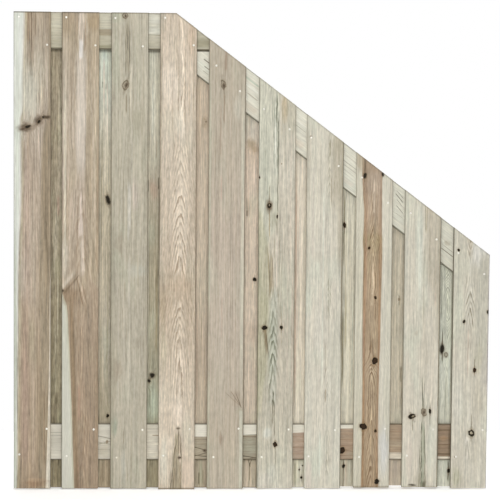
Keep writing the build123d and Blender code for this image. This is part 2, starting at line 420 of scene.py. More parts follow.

    # sawn ends are darker and rougher; the dark strip along each long edge is painted shade for the seams by the gaps
    ends = t.smooth(0.45, 0.75, t.m("ABSOLUTE", along(geo.outputs["True Normal"], av, None)))
    col = t.mix(t.mul(ends, 0.55), col, t.mix(g["Late"], lin((172, 158, 132)), lin((118, 98, 72))))
    half = b.get("half", 69.0)
    # painted shade along both long edges; each piece's edge pair sets how dark each side is
    for way, amount in zip((-1.0, 1.0), b.get("edge", (0.66, 0.66))):
        edge = t.smooth(half - 3.4, half - 0.4, t.mul(U, way))
        col = t.mix(t.mul(edge, amount), col, lin(b.get("edge_tone", (92, 86, 69))))
    X = along(pos, (1000.0, 0.0, 0.0), None)
    Z = along(pos, (0.0, 0.0, 1000.0), None)
    # painted shade: a dark line across the face along the top, the slope cut and the foot of each piece
    under = t.sub(1800.0, Z)
    slope = t.mul(t.sub(under, t.mul(t.add(X, 294.0), 900.0 / 1194.0)), CA)
    rim = t.m("MINIMUM", t.m("MINIMUM", under, slope), Z)
    col = t.mix(t.mul(t.smooth(6.5, 2.0, rim), b.get("rim", 0.55)), col, lin((92, 86, 68)))

    nt.links.new(col, bsdf.inputs["Base Color"])
    rough = t.mad(g["Late"], -0.10, t.mad(g["Fine"], 0.16, 0.62))
    t.put(bsdf.inputs["Roughness"], t.mad(ends, 0.12, rough))
    bsdf.inputs["Specular IOR Level"].default_value = 0.12
    bn = nt.nodes.new("ShaderNodeBump")
    bn.inputs["Strength"].default_value = 0.35
    bn.inputs["Distance"].default_value = 0.0006
    nt.links.new(height, bn.inputs["Height"])
    nt.links.new(bn.outputs[0], bsdf.inputs["Normal"])
    return mat


# ---------------------------------------------------------------------------
# the boards, each from what it shows
# ---------------------------------------------------------------------------
FRONT_X = [-831.0, -651.0, -467.0, -285.0, -101.0, 88.0, 270.0, 458.0, 644.0, 831.0]
BACK_X = [-741.0, -559.0, -376.0, -193.0, -6.5, 179.0, 364.0, 551.0, 737.5]


def upright(x):
    return ((1, 0, 0), (0, 0, 1), -x, 0.0)


BOARDS = {}
MINT, WHITE = (204, 208, 194), (221, 222, 214)

BOARDS["front_board_1"] = dict(
    axes=upright(FRONT_X[0]), y=-15.0, seed=1.3, rim=0.8, mid=0.46, fine=0.3, line=0.7, speck=0.55, dash=0.28, late=((132, 112, 90), 0.45), side=0.8,
    edge=(0.66, 0.3), ground=[(1800, (172, 159, 141)), (1600, (184, 174, 157)), (1400, (183, 172, 157)), (1180, (183, 170, 154)), (720, (179, 165, 146)), (560, (173, 158, 138)), (0, (162, 145, 123))],
    alt=((156, 137, 113), 0.5), green=((172, 168, 140), 0.35),
    ring=dict(Pu=-120, D0=70, Space=6.5, Wave=6, Wob=2.2, Rough=0.8),
    bands=[
        dict(side="R", soft=6.0, wob=16.0, amount=0.8, tones=((160, 147, 125), (150, 136, 113)),
             line=[(1800, 60), (1600, 62), (1420, 56), (1330, 40), (1250, 35), (1000, 30), (800, 28), (600, 31), (300, 24), (0, 22)]),
        dict(side="L", soft=6.0, wob=9.0, calm=0.6, tones=(WHITE, (212, 215, 203)), rim=((184, 180, 150), 0.45, -7.0, 6.0),
             line=[(1800, -29), (1700, -33), (1600, -35), (1500, -34), (1430, -37), (1395, -45), (1300, -44), (1200, -42), (1000, -46), (800, -52), (600, -54), (300, -56), (0, -58)]),
        dict(side="R", soft=1.2, wob=2.0, tones=((214, 205, 187), (206, 200, 184)),
             line=[(1800, 90), (900, 72), (780, 67), (600, 65), (420, 62.5), (300, 60), (200, 57.5), (100, 54.5), (0, 51)]),
    ],
    patches=[(-12, 1480, 34, 110, (203, 200, 184), 0.8), (-55, 1350, 22, 30, (196, 200, 188), 0.6),
             (15, 24, 48, 16, (152, 116, 88), 0.45), (8, 36, 34, 8, (192, 166, 138), 0.45), (26, 1568, 20, 100, (201, 194, 176), 0.55), (-36, 816, 20, 100, (196, 186, 170), 0.5)],
    strokes=[
        (-2, 1800, 1640, 2.6, (104, 86, 66), 0.8, dict(FadeA=0.01)), (-15, 1800, 1680, 9, (148, 128, 103), 0.7, dict(FadeA=0.01)), (13, 1800, 1700, 5, (148, 130, 106), 0.6, {}),
        (34, 1790, 1420, 4.5, (207, 198, 174), 0.9, dict(broken=0.06, Wob=3)), (40, 1740, 1500, 1.6, (122, 106, 84), 0.6, dict(Wob=3)), (26, 1620, 1430, 1.6, (120, 104, 84), 0.6, {}),
        (24, 1360, 1140, 4.5, (208, 193, 176), 0.9, dict(broken=0.06, Wob=3, Slant=18)), (17, 1190, 880, 4.0, (201, 186, 168), 0.9, dict(broken=0.06, Wob=3)),
        (13, 900, 520, 3.5, (192, 175, 157), 0.8, dict(broken=0.06, Wob=4)), (5, 540, 20, 6, (187, 169, 149), 0.7, dict(Wob=4)),
        (-20, 1330, 640, 22, (184, 166, 151), 0.6, dict(Soft=0.9)), (-26, 760, 40, 26, (177, 153, 137), 0.65, dict(Soft=1.0)), (-64, 1080, 0, 9, (190, 195, 179), 0.8, dict(FadeA=0.2, FadeB=0.01)),
        (-30, 1335, 1180, 1.4, (118, 98, 80), 0.7, {}), (-15, 1335, 1210, 1.4, (120, 100, 82), 0.6, {}), (8, 1320, 1190, 1.4, (118, 98, 80), 0.6, {}),
        (44, 1330, 960, 1.5, (128, 108, 86), 0.6, dict(Wob=2)), (56, 1200, 700, 1.5, (126, 110, 86), 0.5, {}), (-2, 1050, 620, 2, (194, 180, 162), 0.6, {}),
        (-34, 1150, 820, 1.4, (136, 118, 100), 0.5, {}), (20, 560, 240, 1.5, (126, 106, 82), 0.6, {}), (33, 500, 120, 2, (130, 110, 84), 0.5, {}), (-8, 460, 180, 1.4, (140, 112, 92), 0.6, {}),
        (46, 420, 60, 3, (140, 112, 84), 0.5, {}), (8, 1000, 680, 8, (190, 178, 160), 0.5, dict(Soft=1.0)),
    ],
    knots=[(-25, 1368, 23, 0.52, 8, "smear"), (-17, 1372, 13, 0.42, 20, "blot"), (-36, 1363, 9, 0.5, 10, "smear"), (24, 1396, 13, 1.3, -30, "smear"), (25, 1391, 5, 1.6, -25, "blot"), (46, 1408, 9, 0.6, 14, "blot"), (59, 1408, 10, 0.6, 0, "smear")],
    bend=7.0,
)

BOARDS["front_board_2"] = dict(
    axes=upright(FRONT_X[1]), y=-15.0, seed=2.7, rim=0.8, edge=(0.85, 0.1), mid=0.38, fine=0.3, line=0.8, speck=0.55, dash=0.22, late=((136, 113, 88), 0.6), side=0.6,
    ground=[(1800, (164, 151, 131)), (1650, (181, 169, 150)), (1400, (193, 182, 166)), (1150, (188, 175, 159)), (900, (181, 167, 148)), (740, (166, 150, 130)), (300, (158, 141, 121)), (0, (158, 140, 120))],
    alt=((167, 149, 126), 0.45), green=((174, 164, 136), 0.3),
    ring=dict(Pu=8, D0=30, Ds=9, Space=7.5, Wave=4, Wob=2.0, Rough=1.2, Deep=4),
    lift=[(0, 0), (120, 10), (320, 40), (420, 44), (820, 60), (1140, 110), (1300, 114), (1800, 130)],
    bands=[
        dict(side="R", soft=3.5, wob=9.0, amount=0.85, tones=((183, 170, 149), (172, 158, 135)),
             line=[(1800, 23), (1600, 24), (1400, 20), (1200, 18), (1050, 26), (850, 32), (760, 70), (690, 118), (0, 118)]),
        dict(side="L", soft=1.6, wob=1.5, calm=0.7, tones=((206, 204, 190), (202, 201, 186)), rim=((184, 182, 152), 0.6, 3.0, 4.0),
             line=[(1800, -94), (775, -84), (755, -71), (735, -62), (700, -51), (650, -46), (600, -44), (500, -39), (400, -35), (300, -31), (200, -28), (100, -25), (0, -21)]),
    ],
    patches=[(-38, 738, 30, 42, (148, 128, 104), 0.75), (-50, 1755, 22, 46, (160, 143, 118), 0.5), (-58, 876, 16, 80, (208, 201, 185), 0.5), (8, 1748, 22, 60, (205, 194, 178), 0.4), (48, 1765, 24, 40, (156, 136, 106), 0.5)],
    strokes=[
        (3, 1690, 1150, 23, (206, 196, 182), 0.8, dict(Soft=0.6, Wob=6, calm=0.4)), (3, 1800, 1600, 13, (217, 204, 188), 0.9, dict(Wob=6, broken=0.25, FadeA=0.01)),
        (2, 1705, 1620, 10, (214, 210, 203), 0.95, dict(Soft=0.6, Wob=4, calm=0.4)), (-12, 1800, 1640, 1.8, (134, 112, 88), 0.7, dict(Wob=4)), (17, 1790, 1640, 1.8, (140, 116, 90), 0.7, dict(Wob=4)),
        (-57, 1600, 770, 5.0, (208, 201, 180), 0.9, dict(Wob=2)), (-50, 1600, 900, 1.6, (160, 143, 120), 0.5, {}), (-34, 1650, 1250, 1.5, (164, 148, 128), 0.5, {}), (-22, 1560, 1180, 1.5, (166, 150, 130), 0.5, {}),
        (3, 1150, 945, 12, (210, 196, 182), 0.95, dict(Top=0.2, Wob=8, calm=0.4)), (9, 985, 800, 15, (204, 191, 174), 0.9, dict(Top=0.4, Wob=8, calm=0.35)),
        (-7, 1120, 860, 1.6, (132, 110, 88), 0.8, dict(Slant=-30, Wob=6)), (13, 1100, 850, 1.6, (132, 110, 88), 0.8, dict(Slant=20, Wob=6)),
        (-2, 818, 738, 10, (126, 108, 86), 0.65, dict(Slant=-830, Soft=1.0, Wob=1, FadeA=0.3)), (-14, 848, 744, 24, (199, 186, 166), 0.75, dict(Slant=-730, Soft=1.0, Wob=3, FadeA=0.4, FadeB=0.2)), (-16, 836, 752, 13, (209, 198, 180), 0.75, dict(Slant=-760, Soft=1.0, Wob=3, FadeA=0.4, FadeB=0.2)), (-3, 820, 790, 2.6, (98, 82, 62), 0.6, dict(Slant=-600, Wob=1, FadeA=0.3, FadeB=0.5)),
        (-15, 815, 690, 3, (126, 106, 84), 0.85, dict(Slant=230, Wob=2)), (-7, 815, 700, 3, (202, 184, 164), 0.8, dict(Slant=240, Wob=2)), (4, 800, 690, 2, (130, 110, 86), 0.6, dict(Slant=240, Wob=2)),
        (14, 700, 560, 1.5, (200, 178, 156), 0.6, dict(Wob=2)), (8, 690, 430, 2.2, (198, 175, 149), 0.65, dict(Wob=6, broken=0.25)), (2, 640, 390, 1.8, (126, 102, 78), 0.6, dict(Wob=6, broken=0.25)), (22, 560, 330, 1.8, (128, 106, 82), 0.55, dict(Wob=5, broken=0.25)), (-6, 570, 410, 1.5, (130, 106, 82), 0.7, {}), (-3, 410, 250, 8, (172, 138, 118), 0.45, dict(Wob=3)), (14, 460, 260, 1.8, (198, 172, 150), 0.7, dict(Slant=-40)),
        (28, 325, 110, 1.8, (200, 178, 152), 0.8, dict(Slant=-60, Wob=3)), (38, 310, 120, 1.8, (198, 176, 150), 0.7, dict(Slant=-40, Wob=3)), (23, 300, 90, 1.5, (126, 104, 80), 0.7, dict(Slant=-60, Wob=3)),
        (33, 300, 120, 1.5, (126, 104, 80), 0.7, dict(Slant=-50, Wob=3)), (-8, 115, 0, 8, (172, 138, 120), 0.45, dict(FadeB=0.01)), (14, 140, 40, 2, (202, 180, 154), 0.7, dict(Wob=3)),
        (56, 1540, 1040, 4, (199, 187, 162), 0.75, {}), (63, 1340, 780, 7, (148, 130, 106), 0.6, dict(Soft=0.8)), (30, 1150, 600, 7, (182, 167, 145), 0.6, dict(Soft=0.9)), (40, 1400, 1000, 2, (150, 131, 103), 0.5, {}), (64, 640, 40, 3, (150, 132, 106), 0.6, {}), (30, 1780, 1500, 1.6, (146, 124, 96), 0.5, {}),
        (-35, 745, 0, 15, (136, 117, 92), 0.75, dict(Slant=33, Soft=0.9, Wob=1, FadeA=0.1, FadeB=0.01)),
    ],
    knots=[(-66, 757, 6, 0.8, 0, "smear")], bend=5.0,
)

BOARDS["front_board_3"] = dict(
    axes=upright(FRONT_X[2]), y=-15.0, seed=3.9, edge=(0.8, 0.6), mid=0.26, fine=0.2, line=0.6, speck=0.5, dash=0.16, dash_tone=(142, 132, 110), fleck=0.05, late=((158, 147, 124), 0.3), side=0.8,
    ground=[(1800, (183, 177, 160)), (1300, (182, 176, 158)), (700, (180, 173, 156)), (0, (184, 178, 161))],
    alt=((173, 164, 145), 0.35), green=((171, 173, 152), 0.4),
    ring=dict(Pu=-10, D0=50, Space=7.0, Wave=5, Wob=1.6, Rough=0.6),
    patches=[(32, 1400, 26, 50, (167, 161, 141), 0.6), (42, 1130, 26, 36, (178, 168, 152), 0.35), (-50, 460, 26, 46, (164, 152, 134), 0.7), (-56, 240, 14, 40, (156, 162, 144), 0.8), (42, 555, 22, 30, (172, 164, 146), 0.6),
             (-20, 90, 10, 60, (198, 196, 182), 0.6), (30, 835, 38, 30, (187, 186, 172), 0.6), (-50, 1600, 16, 120, (174, 176, 156), 0.5), (-50, 1790, 30, 30, (168, 170, 150), 0.6), (20, 1120, 14, 60, (193, 181, 168), 0.7), (-40, 940, 20, 40, (166, 156, 138), 0.6), (-56, 440, 12, 160, (168, 159, 140), 0.6)],
    strokes=[
        (-8, 1790, 1560, 12, (150, 142, 121), 0.65, dict(broken=0.35, Wob=3)), (-1, 1750, 1590, 2.3, (88, 80, 62), 0.85, dict(Wob=3)), (-15, 1775, 1550, 2.2, (98, 90, 71), 0.8, dict(Wob=3)), (-8, 1765, 1650, 2.2, (96, 87, 68), 0.75, dict(Wob=3)), (-4, 1620, 1545, 1.6, (122, 108, 88), 0.6, {}),
        (-12, 1502, 1420, 3.5, (132, 118, 97), 0.8, dict(Wob=2)), (-1, 1500, 1385, 1.5, (120, 108, 88), 0.7, {}), (6, 1625, 1420, 5.5, (204, 197, 178), 0.8, dict(Wob=3)), (2, 1175, 975, 5.5, (206, 201, 187), 0.85, dict(Wob=2)),
        (0, 900, 690, 5, (199, 193, 178), 0.7, {}), (-22, 1200, 990, 1.4, (146, 134, 114), 0.6, {}), (-28, 1000, 870, 1.4, (146, 134, 114), 0.6, {}), (-16, 800, 715, 3, (156, 144, 124), 0.7, {}), (-8, 640, 560, 1.4, (148, 136, 114), 0.6, {}),
        (-24, 700, 590, 1.4, (150, 138, 117), 0.6, {}), (-18, 230, 170, 2, (140, 128, 108), 0.7, {}), (50, 1780, 1000, 1.5, (166, 160, 140), 0.6, {}), (30, 1700, 1480, 1.5, (168, 160, 140), 0.5, {}), (62, 1500, 200, 3, (170, 163, 143), 0.5, {}),
        (-62, 300, 60, 2, (150, 156, 136), 0.6, {}), (10, 330, 40, 1.4, (166, 158, 138), 0.5, {}), (-4, 120, 20, 1.5, (150, 140, 120), 0.6, {}), (-40, 1350, 1000, 1.4, (164, 155, 136), 0.5, {}), (0, 620, 290, 7, (197, 190, 172), 0.55, dict(Soft=0.8)),
        (-64, 1250, -6, 15, (155, 149, 131), 0.6, dict(Soft=0.9, FadeB=0.01)), (-3, 1190, 930, 6, (211, 206, 193), 0.65, dict(Wob=3)), (9, 1410, 1110, 5, (203, 197, 180), 0.65, dict(Wob=3)), (32, 905, 755, 4, (158, 150, 131), 0.65, dict(Wob=3)),
    ],
    knots=[(-17, 1789, 11, 1.1, 0, "loop"), (-17, 1787, 4, 1.1, 0, "smear"), (-15, 1530, 11.5, 1.6, -18, "loop"), (-13, 1529, 5.5, 1.6, -18, "smear")], bend=9.0,
)

BOARDS["front_board_4"] = dict(
    axes=upright(FRONT_X[3]), y=-15.0, seed=4.4, mid=0.28, fine=0.26, line=0.4, speck=0.7, dash=0.16, late=((132, 109, 84), 0.75), side=0.26, early=((234, 221, 201), 0.5),
    ground=[(1800, (190, 177, 159)), (1650, (202, 189, 171)), (1350, (196, 186, 169)), (1150, (195, 183, 165)), (860, (187, 173, 154)), (790, (178, 161, 139)), (700, (178, 162, 141)), (560, (190, 176, 156)), (350, (204, 193, 175)), (0, (206, 192, 172))],
    alt=((192, 175, 154), 0.4), green=((194, 190, 168), 0.35),
    ring=dict(Pu=9, D0=17, Space=9.0, Wave=2.5, Wob=2.4, Rough=2.2, Deep=3),
    lift=[(0, 0), (400, 8), (560, 20), (600, 26), (740, 58), (800, 62), (1300, 166), (1360, 172), (1800, 188)],
    arches=[(8, 1340, 790, 44, 1.0), (6, 745, 330, 40, 1.0), (14, 1790, 1330, 36, 0.3)],
    patches=[(-32, 1392, 34, 44, (196, 187, 168), 0.7), (-30, 1530, 38, 80, (219, 207, 190), 0.7), (6, 1400, 18, 60, (216, 208, 190), 0.8), (50, 1720, 16, 90, (186, 164, 139), 0.6), (-54, 690, 14, 80, (166, 150, 124), 0.6), (-52, 540, 16, 90, (182, 175, 150), 0.5),
             (2, 772, 60, 22, (178, 160, 138), 0.7), (42, 230, 22, 80, (192, 188, 170), 0.6), (-48, 110, 18, 100, (208, 204, 188), 0.85), (6, 298, 30, 58, (229, 215, 197), 0.75), (-30, 165, 12, 40, (227, 215, 196), 0.7), (12, 470, 24, 110, (215, 200, 182), 0.5), (4, 1000, 26, 160, (213, 200, 182), 0.45), (-58, 1770, 12, 40, (168, 160, 144), 0.7)],
    strokes=[
        (-65, 1800, 900, 8, (160, 148, 128), 0.65, dict(Soft=0.8)), (8, 1785, 1715, 3.6, (234, 221, 200), 0.85, dict(Slant=120, Wob=2)), (16, 1728, 1660, 3.8, (234, 221, 200), 0.85, dict(Slant=-110, Wob=2)), (9, 1672, 1600, 4.4, (235, 223, 203), 0.85, dict(Slant=130, Wob=2)), (19, 1612, 1540, 4.8, (235, 223, 203), 0.85, dict(Slant=-95, Wob=2)), (12, 1552, 1480, 6.5, (236, 224, 205), 0.85, dict(Slant=120, Wob=2)), (21, 1494, 1428, 7.0, (236, 225, 206), 0.85, dict(Slant=-150, Wob=2)), (11, 1442, 1372, 8.0, (236, 225, 206), 0.85, dict(Slant=140, Wob=2)), (20, 1390, 1325, 6.0, (232, 221, 203), 0.8, dict(Slant=-120, Wob=2)), (2, 1785, 1570, 1.4, (150, 125, 99), 0.6, dict(Wob=6, broken=0.3)), (26, 1560, 1360, 1.8, (128, 102, 77), 0.7, dict(Wob=5, broken=0.3)), (68, 1800, 560, 5, (140, 126, 104), 0.5, dict(Soft=0.9)), (20, 1740, 1340, 3, (222, 206, 182), 0.85, dict(broken=0.3, Wob=8)), (25, 1700, 1350, 2.4, (124, 98, 73), 0.9, dict(broken=0.15, Wob=8)),
        (13, 1700, 1420, 2.2, (130, 105, 80), 0.85, dict(broken=0.1, Wob=9)), (0, 1640, 1380, 2.2, (136, 111, 86), 0.8, dict(broken=0.15, Wob=8)), (-22, 1590, 1330, 1.4, (150, 128, 104), 0.7, dict(Wob=4)), (-8, 1720, 1560, 1.5, (156, 134, 110), 0.6, dict(Wob=4)), (56, 1730, 1350, 1.5, (160, 136, 110), 0.6, {}),
        (42, 1700, 1380, 1.5, (166, 144, 118), 0.6, {}), (44, 1300, 780, 1.5, (172, 154, 132), 0.5, {}), (54, 1100, 500, 1.5, (166, 150, 128), 0.5, {}), (-38, 1300, 850, 1.4, (168, 150, 128), 0.5, {}), (-50, 1250, 950, 1.4, (170, 154, 132), 0.5, {}), (60, 900, 300, 4, (180, 166, 146), 0.5, {}),
        (0, 226, -6, 21, (170, 159, 135), 0.95, dict(Top=0.25, Wob=4, FadeA=0.1, FadeB=0.01, Soft=0.3)), (7, 240, 120, 2.6, (98, 88, 66), 0.85, dict(Wob=5)), (2, 208, -6, 3.2, (94, 84, 62), 0.9, dict(Slant=-115, Wob=5, FadeB=0.01)),
        (14, 215, 112, 2.8, (100, 90, 68), 0.85, dict(Slant=30, Wob=4)), (-2, 170, 40, 2, (112, 100, 78), 0.7, dict(Wob=5)), (-9, 90, -6, 9, (110, 98, 75), 0.8, dict(broken=0.25, FadeB=0.01)), (15, 110, -6, 2.2, (104, 94, 72), 0.8, dict(Wob=3, FadeB=0.01)), (-14, 160, -6, 3.2, (92, 82, 60), 0.85, dict(broken=0.25, Wob=5, FadeB=0.01)), (-1, 130, -6, 3.2, (88, 78, 57), 0.85, dict(broken=0.25, Wob=5, FadeB=0.01)), (6, 170, 20, 3, (190, 178, 154), 0.45, dict(broken=0.25, Wob=6)), (18, 208, -6, 2.4, (106, 95, 73), 0.85, dict(Wob=3, FadeB=0.01)), (-22, 80, -6, 5, (100, 90, 68), 0.75, dict(broken=0.25, FadeB=0.01)),
        (45, 130, -6, 24, (208, 191, 172), 0.8, dict(Soft=0.45, FadeB=0.01, calm=0.5)), (36, 560, 330, 1.4, (168, 150, 128), 0.6, {}), (-24, 560, 330, 1.4, (160, 142, 120), 0.6, {}), (24, 360, 250, 1.5, (150, 132, 108), 0.6, {}),
        # the last stroke here is painted shade: a dark band across the foot of the board
        (61, 1800, 860, 16, (170, 156, 136), 0.5, dict(Soft=0.9)), (0, 12, -6, 80, (112, 100, 78), 0.5, dict(Soft=0.1, FadeA=0.5, FadeB=0.01, Wob=0)),
    ],
    knots=[(6, 234, 6, 0.6, 0, "smear"), (12, 122, 7, 0.6, 0, "smear")], bend=4.0,
)

BOARDS["front_board_5"] = dict(
    axes=upright(FRONT_X[4]), y=-15.0, seed=5.8, rim=0.35, edge=(0.6, 0.9), mid=0.2, fine=0.22, line=0.45, speck=0.4, dash=0.12, fleck=0.05, late=((166, 151, 130), 0.35), side=1.0,
    ground=[(1800, (179, 170, 152)), (1450, (179, 170, 153)), (1250, (184, 174, 157)), (1000, (186, 174, 158)), (600, (190, 179, 163)), (400, (186, 176, 159)), (200, (184, 174, 156)), (0, (187, 178, 161))],
    alt=((180, 167, 150), 0.35), green=((178, 180, 160), 0.2),
    ring=dict(Pu=-15, D0=58, Space=6.0, Wave=3, Wob=1.0, Rough=0.4),
    patches=[(42, 350, 19, 34, (168, 154, 136), 0.65), (-60, 820, 16, 62, (204, 196, 178), 0.55), (55, 300, 12, 16, (178, 172, 152), 0.6), (-16, 190, 8, 26, (162, 146, 128), 0.7), (22, 150, 18, 60, (187, 176, 156), 0.5), (40, 1450, 14, 60, (198, 194, 178), 0.6), (-30, 1300, 20, 60, (176, 164, 146), 0.5)],
    strokes=[
        (60, 1600, 330, 8, (195, 191, 173), 0.8, dict(Soft=0.7)), (60, 306, -6, 9, (196, 194, 177), 0.85, dict(FadeA=0.03, FadeB=0.01, Soft=0.6)), (-64, 1710, -6, 6, (188, 186, 165), 0.7, dict(FadeB=0.01)),
        (-6, 1672, 1580, 7, (158, 138, 120), 0.75, dict(Wob=3)), (-10, 1660, 1440, 1.5, (122, 106, 88), 0.7, dict(Wob=3)), (-12, 1515, 1380, 3.5, (140, 122, 102), 0.8, dict(Wob=3)), (-24, 1480, 1250, 4, (164, 146, 128), 0.6, dict(Wob=3)),
        (-20, 1200, 1090, 3, (176, 150, 136), 0.6, {}), (-15, 760, 560, 2.5, (172, 148, 134), 0.7, {}), (-40, 1150, 450, 1.3, (162, 148, 130), 0.6, {}), (-28, 1250, 520, 1.2, (164, 150, 132), 0.6, {}), (-4, 1150, 650, 1.2, (162, 147, 130), 0.6, {}), (8, 1250, 450, 1.3, (162, 148, 131), 0.6, {}),
        (24, 1100, 500, 1.3, (164, 150, 133), 0.6, {}), (38, 1300, 620, 1.3, (164, 150, 133), 0.6, {}), (48, 1100, 420, 1.2, (168, 156, 138), 0.6, {}), (-50, 900, 200, 1.2, (168, 158, 140), 0.5, {}),
        (18, 382, 314, 1.8, (122, 108, 88), 0.85, dict(Slant=640, Wob=1)), (38, 374, 314, 1.8, (112, 98, 78), 0.85, dict(Slant=380, Wob=1)), (-2, 374, 316, 1.8, (136, 122, 102), 0.7, dict(Slant=1080, Wob=1)), (50, 345, 310, 3, (122, 108, 90), 0.8, dict(Slant=330, Wob=1)),
        (-18, 230, 170, 1.4, (150, 130, 112), 0.7, {}), (-8, 210, 140, 1.4, (152, 134, 116), 0.6, {}), (8, 120, 10, 1.3, (166, 152, 134), 0.5, {}),
        (-63, 730, 390, 10, (166, 152, 136), 0.6, dict(Soft=0.9)),
    ],
    knots=[(-16, 1535, 9.5, 1.7, 10, "loop"), (-14, 1531, 5.5, 1.6, 0, "smear")], bend=9.0,
)

BOARDS["front_board_6"] = dict(
    axes=upright(FRONT_X[5]), y=-15.0, seed=6.1, rim=0.3, edge=(0.6, 0.5), mid=0.26, fine=0.26, line=0.55, speck=0.6, dash=0.2, dash_tone=(118, 116, 94), late=((80, 83, 62), 1.0), side=0.1, early=((215, 217, 203), 0.42),
    ground=[(1800, (190, 184, 166)), (1200, (199, 193, 177)), (1000, (193, 186, 169)), (700, (184, 178, 161)), (400, (183, 177, 160)), (200, (189, 184, 167)), (70, (194, 189, 173)), (0, (202, 198, 184))],
    alt=((200, 190, 173), 0.4), green=((187, 194, 173), 0.28),
    ring=dict(Pu=-9, D0=8, Space=14.0, Wave=2, Wob=3.2, Rough=3.0, Deep=4),
    lift=[(0, 0), (380, 10), (740, 90), (1000, 110), (1800, 140)],
    arches=[(-9, 790, 300, 25, 1.0), (-4, 1510, 1180, 15, 0.7)],
    bands=[
        dict(side="L", soft=9.0, wob=14.0, amount=0.6, tones=((200, 199, 182), (192, 194, 176)),
             line=[(1800, 4), (1500, 4), (1300, 2), (1100, 4), (1000, -4), (950, -30), (850, -55), (700, -66), (560, -75), (0, -80)]),
        dict(side="L", soft=11.0, wob=16.0, amount=0.62, tones=((171, 166, 136), (181, 176, 148)),
             line=[(1800, -95), (1180, -85), (1000, -46), (900, -30), (800, -30), (700, -33), (600, -31), (480, -31), (400, -44), (330, -52), (250, -72), (200, -92), (0, -95)]),
    ],
    patches=[(28, 1450, 13, 55, (185, 168, 137), 0.75), (-13, 560, 18, 180, (168, 170, 148), 0.7), (-28, 215, 17, 22, (211, 211, 199), 0.8), (-6, 60, 22, 40, (205, 205, 191), 0.6), (-34, 40, 26, 26, (208, 203, 190), 0.5), (-14, 615, 16, 90, (144, 142, 120), 0.55), (56, 1430, 22, 80, (180, 175, 155), 0.55), (56, 404, 24, 150, (203, 195, 178), 0.45), (-10, 1036, 18, 42, (158, 154, 134), 0.6), (-40, 700, 18, 60, (172, 168, 140), 0.5)],
    strokes=[
        (-3, 1525, 1240, 3.0, (106, 111, 92), 0.85, dict(Wob=5, broken=0.2)), (5, 1340, 1230, 4, (128, 131, 111), 0.45, dict(Wob=5)), (-12, 1490, 1200, 2.4, (114, 120, 100), 0.8, dict(Wob=4, broken=0.25)), (-8, 1500, 1220, 1.8, (222, 222, 210), 0.7, dict(Wob=3)), (4, 1470, 1150, 2.5, (102, 105, 86), 0.85, dict(Wob=5, broken=0.25)), (-19, 1530, 1370, 1.5, (130, 136, 118), 0.6, dict(Wob=4)), (3, 1190, 1050, 2.6, (92, 89, 71), 0.85, dict(Wob=3)),
        (1, 1030, 960, 1.6, (110, 102, 82), 0.7, {}), (17, 1490, 1330, 1.4, (146, 128, 96), 0.7, {}), (28, 1480, 1200, 1.4, (160, 148, 122), 0.6, {}), (40, 1400, 1000, 1.5, (208, 196, 180), 0.6, {}), (52, 1400, 700, 3, (206, 192, 176), 0.6, {}),
        (-28, 1165, 1090, 2.2, (116, 104, 80), 0.8, {}), (-27, 1075, 950, 2.4, (158, 134, 96), 0.8, {}), (-19, 915, 720, 14, (160, 147, 121), 0.8, dict(Wob=4, Soft=0.8, Top=0.45)), (-26, 890, 740, 2, (116, 100, 76), 0.75, dict(Slant=30)), (-8, 860, 740, 1.8, (120, 104, 82), 0.7, dict(Slant=-20)), (-13, 900, 750, 1.8, (106, 88, 68), 0.7, dict(Slant=-20)), (-34, 940, 700, 3, (138, 124, 90), 0.8, dict(Slant=60, Wob=2)),
        (2, 1000, 740, 4.5, (215, 204, 188), 0.8, {}), (11, 1000, 700, 1.4, (156, 142, 120), 0.7, {}), (-7, 970, 870, 1.8, (136, 120, 96), 0.7, {}), (20, 900, 700, 1.3, (164, 150, 128), 0.6, {}),
        (-41, 614, 490, 8, (132, 114, 84), 0.85, dict(Slant=95, Wob=1, FadeA=0.03, FadeB=0.6, Top=1.2, Soft=0.9)), (-36, 604, 510, 2.4, (98, 82, 58), 0.85, dict(Slant=100, Wob=1)), (-15, 690, 560, 3, (108, 115, 94), 0.7, dict(Wob=6, broken=0.2)), (2, 680, 560, 2.6, (112, 118, 98), 0.7, dict(Wob=6, broken=0.2)), (-8, 640, 540, 5, (132, 142, 120), 0.6, dict(Wob=6, broken=0.2)), (-15, 540, 380, 2.4, (116, 120, 98), 0.7, dict(Wob=6, broken=0.2)), (-2, 520, 370, 2.4, (112, 116, 94), 0.7, dict(Wob=6, broken=0.2)), (22, 705, 540, 1.5, (146, 130, 104), 0.7, {}), (31, 730, 560, 1.4, (206, 190, 172), 0.6, {}), (8, 640, 300, 1.4, (206, 194, 178), 0.6, {}),
        (-8, 390, 235, 2.6, (112, 104, 82), 0.8, dict(Wob=5)), (-1, 370, 190, 1.8, (94, 86, 64), 0.85, dict(Wob=5)), (-16, 340, 230, 1.6, (130, 120, 96), 0.6, dict(Wob=4)), (3, 165, 20, 1.6, (124, 112, 88), 0.8, dict(Wob=2)), (-27, 190, 165, 2, (150, 140, 118), 0.6, {}),
        # the first stroke here is painted shade along the left edge by the gap
        (-67, 1020, -6, 5, (124, 116, 93), 0.6, dict(Soft=0.8, FadeB=0.01)), (45, 1200, 300, 2.5, (205, 191, 175), 0.6, {}), (62, 900, 300, 3, (184, 166, 148), 0.6, {}), (30, 400, 20, 1.4, (178, 166, 146), 0.5, {}), (48, 500, 40, 1.4, (176, 164, 144), 0.5, {}), (-50, 380, 60, 1.4, (170, 160, 134), 0.5, {}),
    ],
    knots=[(-28, 1080, 10, 1.8, 0, "smear"), (-28, 1082, 8, 1.15, 0, "black"), (-28, 1084, 2.0, 1.2, 0, "faint"), (2, 1041, 2.8, 2.4, 0, "black"), (-66, 1188, 2.6, 1.7, 0, "dark"), (-43, 619, 9.5, 0.85, -15, "black"), (22, 620, 5.4, 1.35, 0, "black"), (2, 173, 8, 1.15, 0, "dark"), (17, 1240, 2.0, 1.4, 0, "faint")],
    bend=10.0,
)

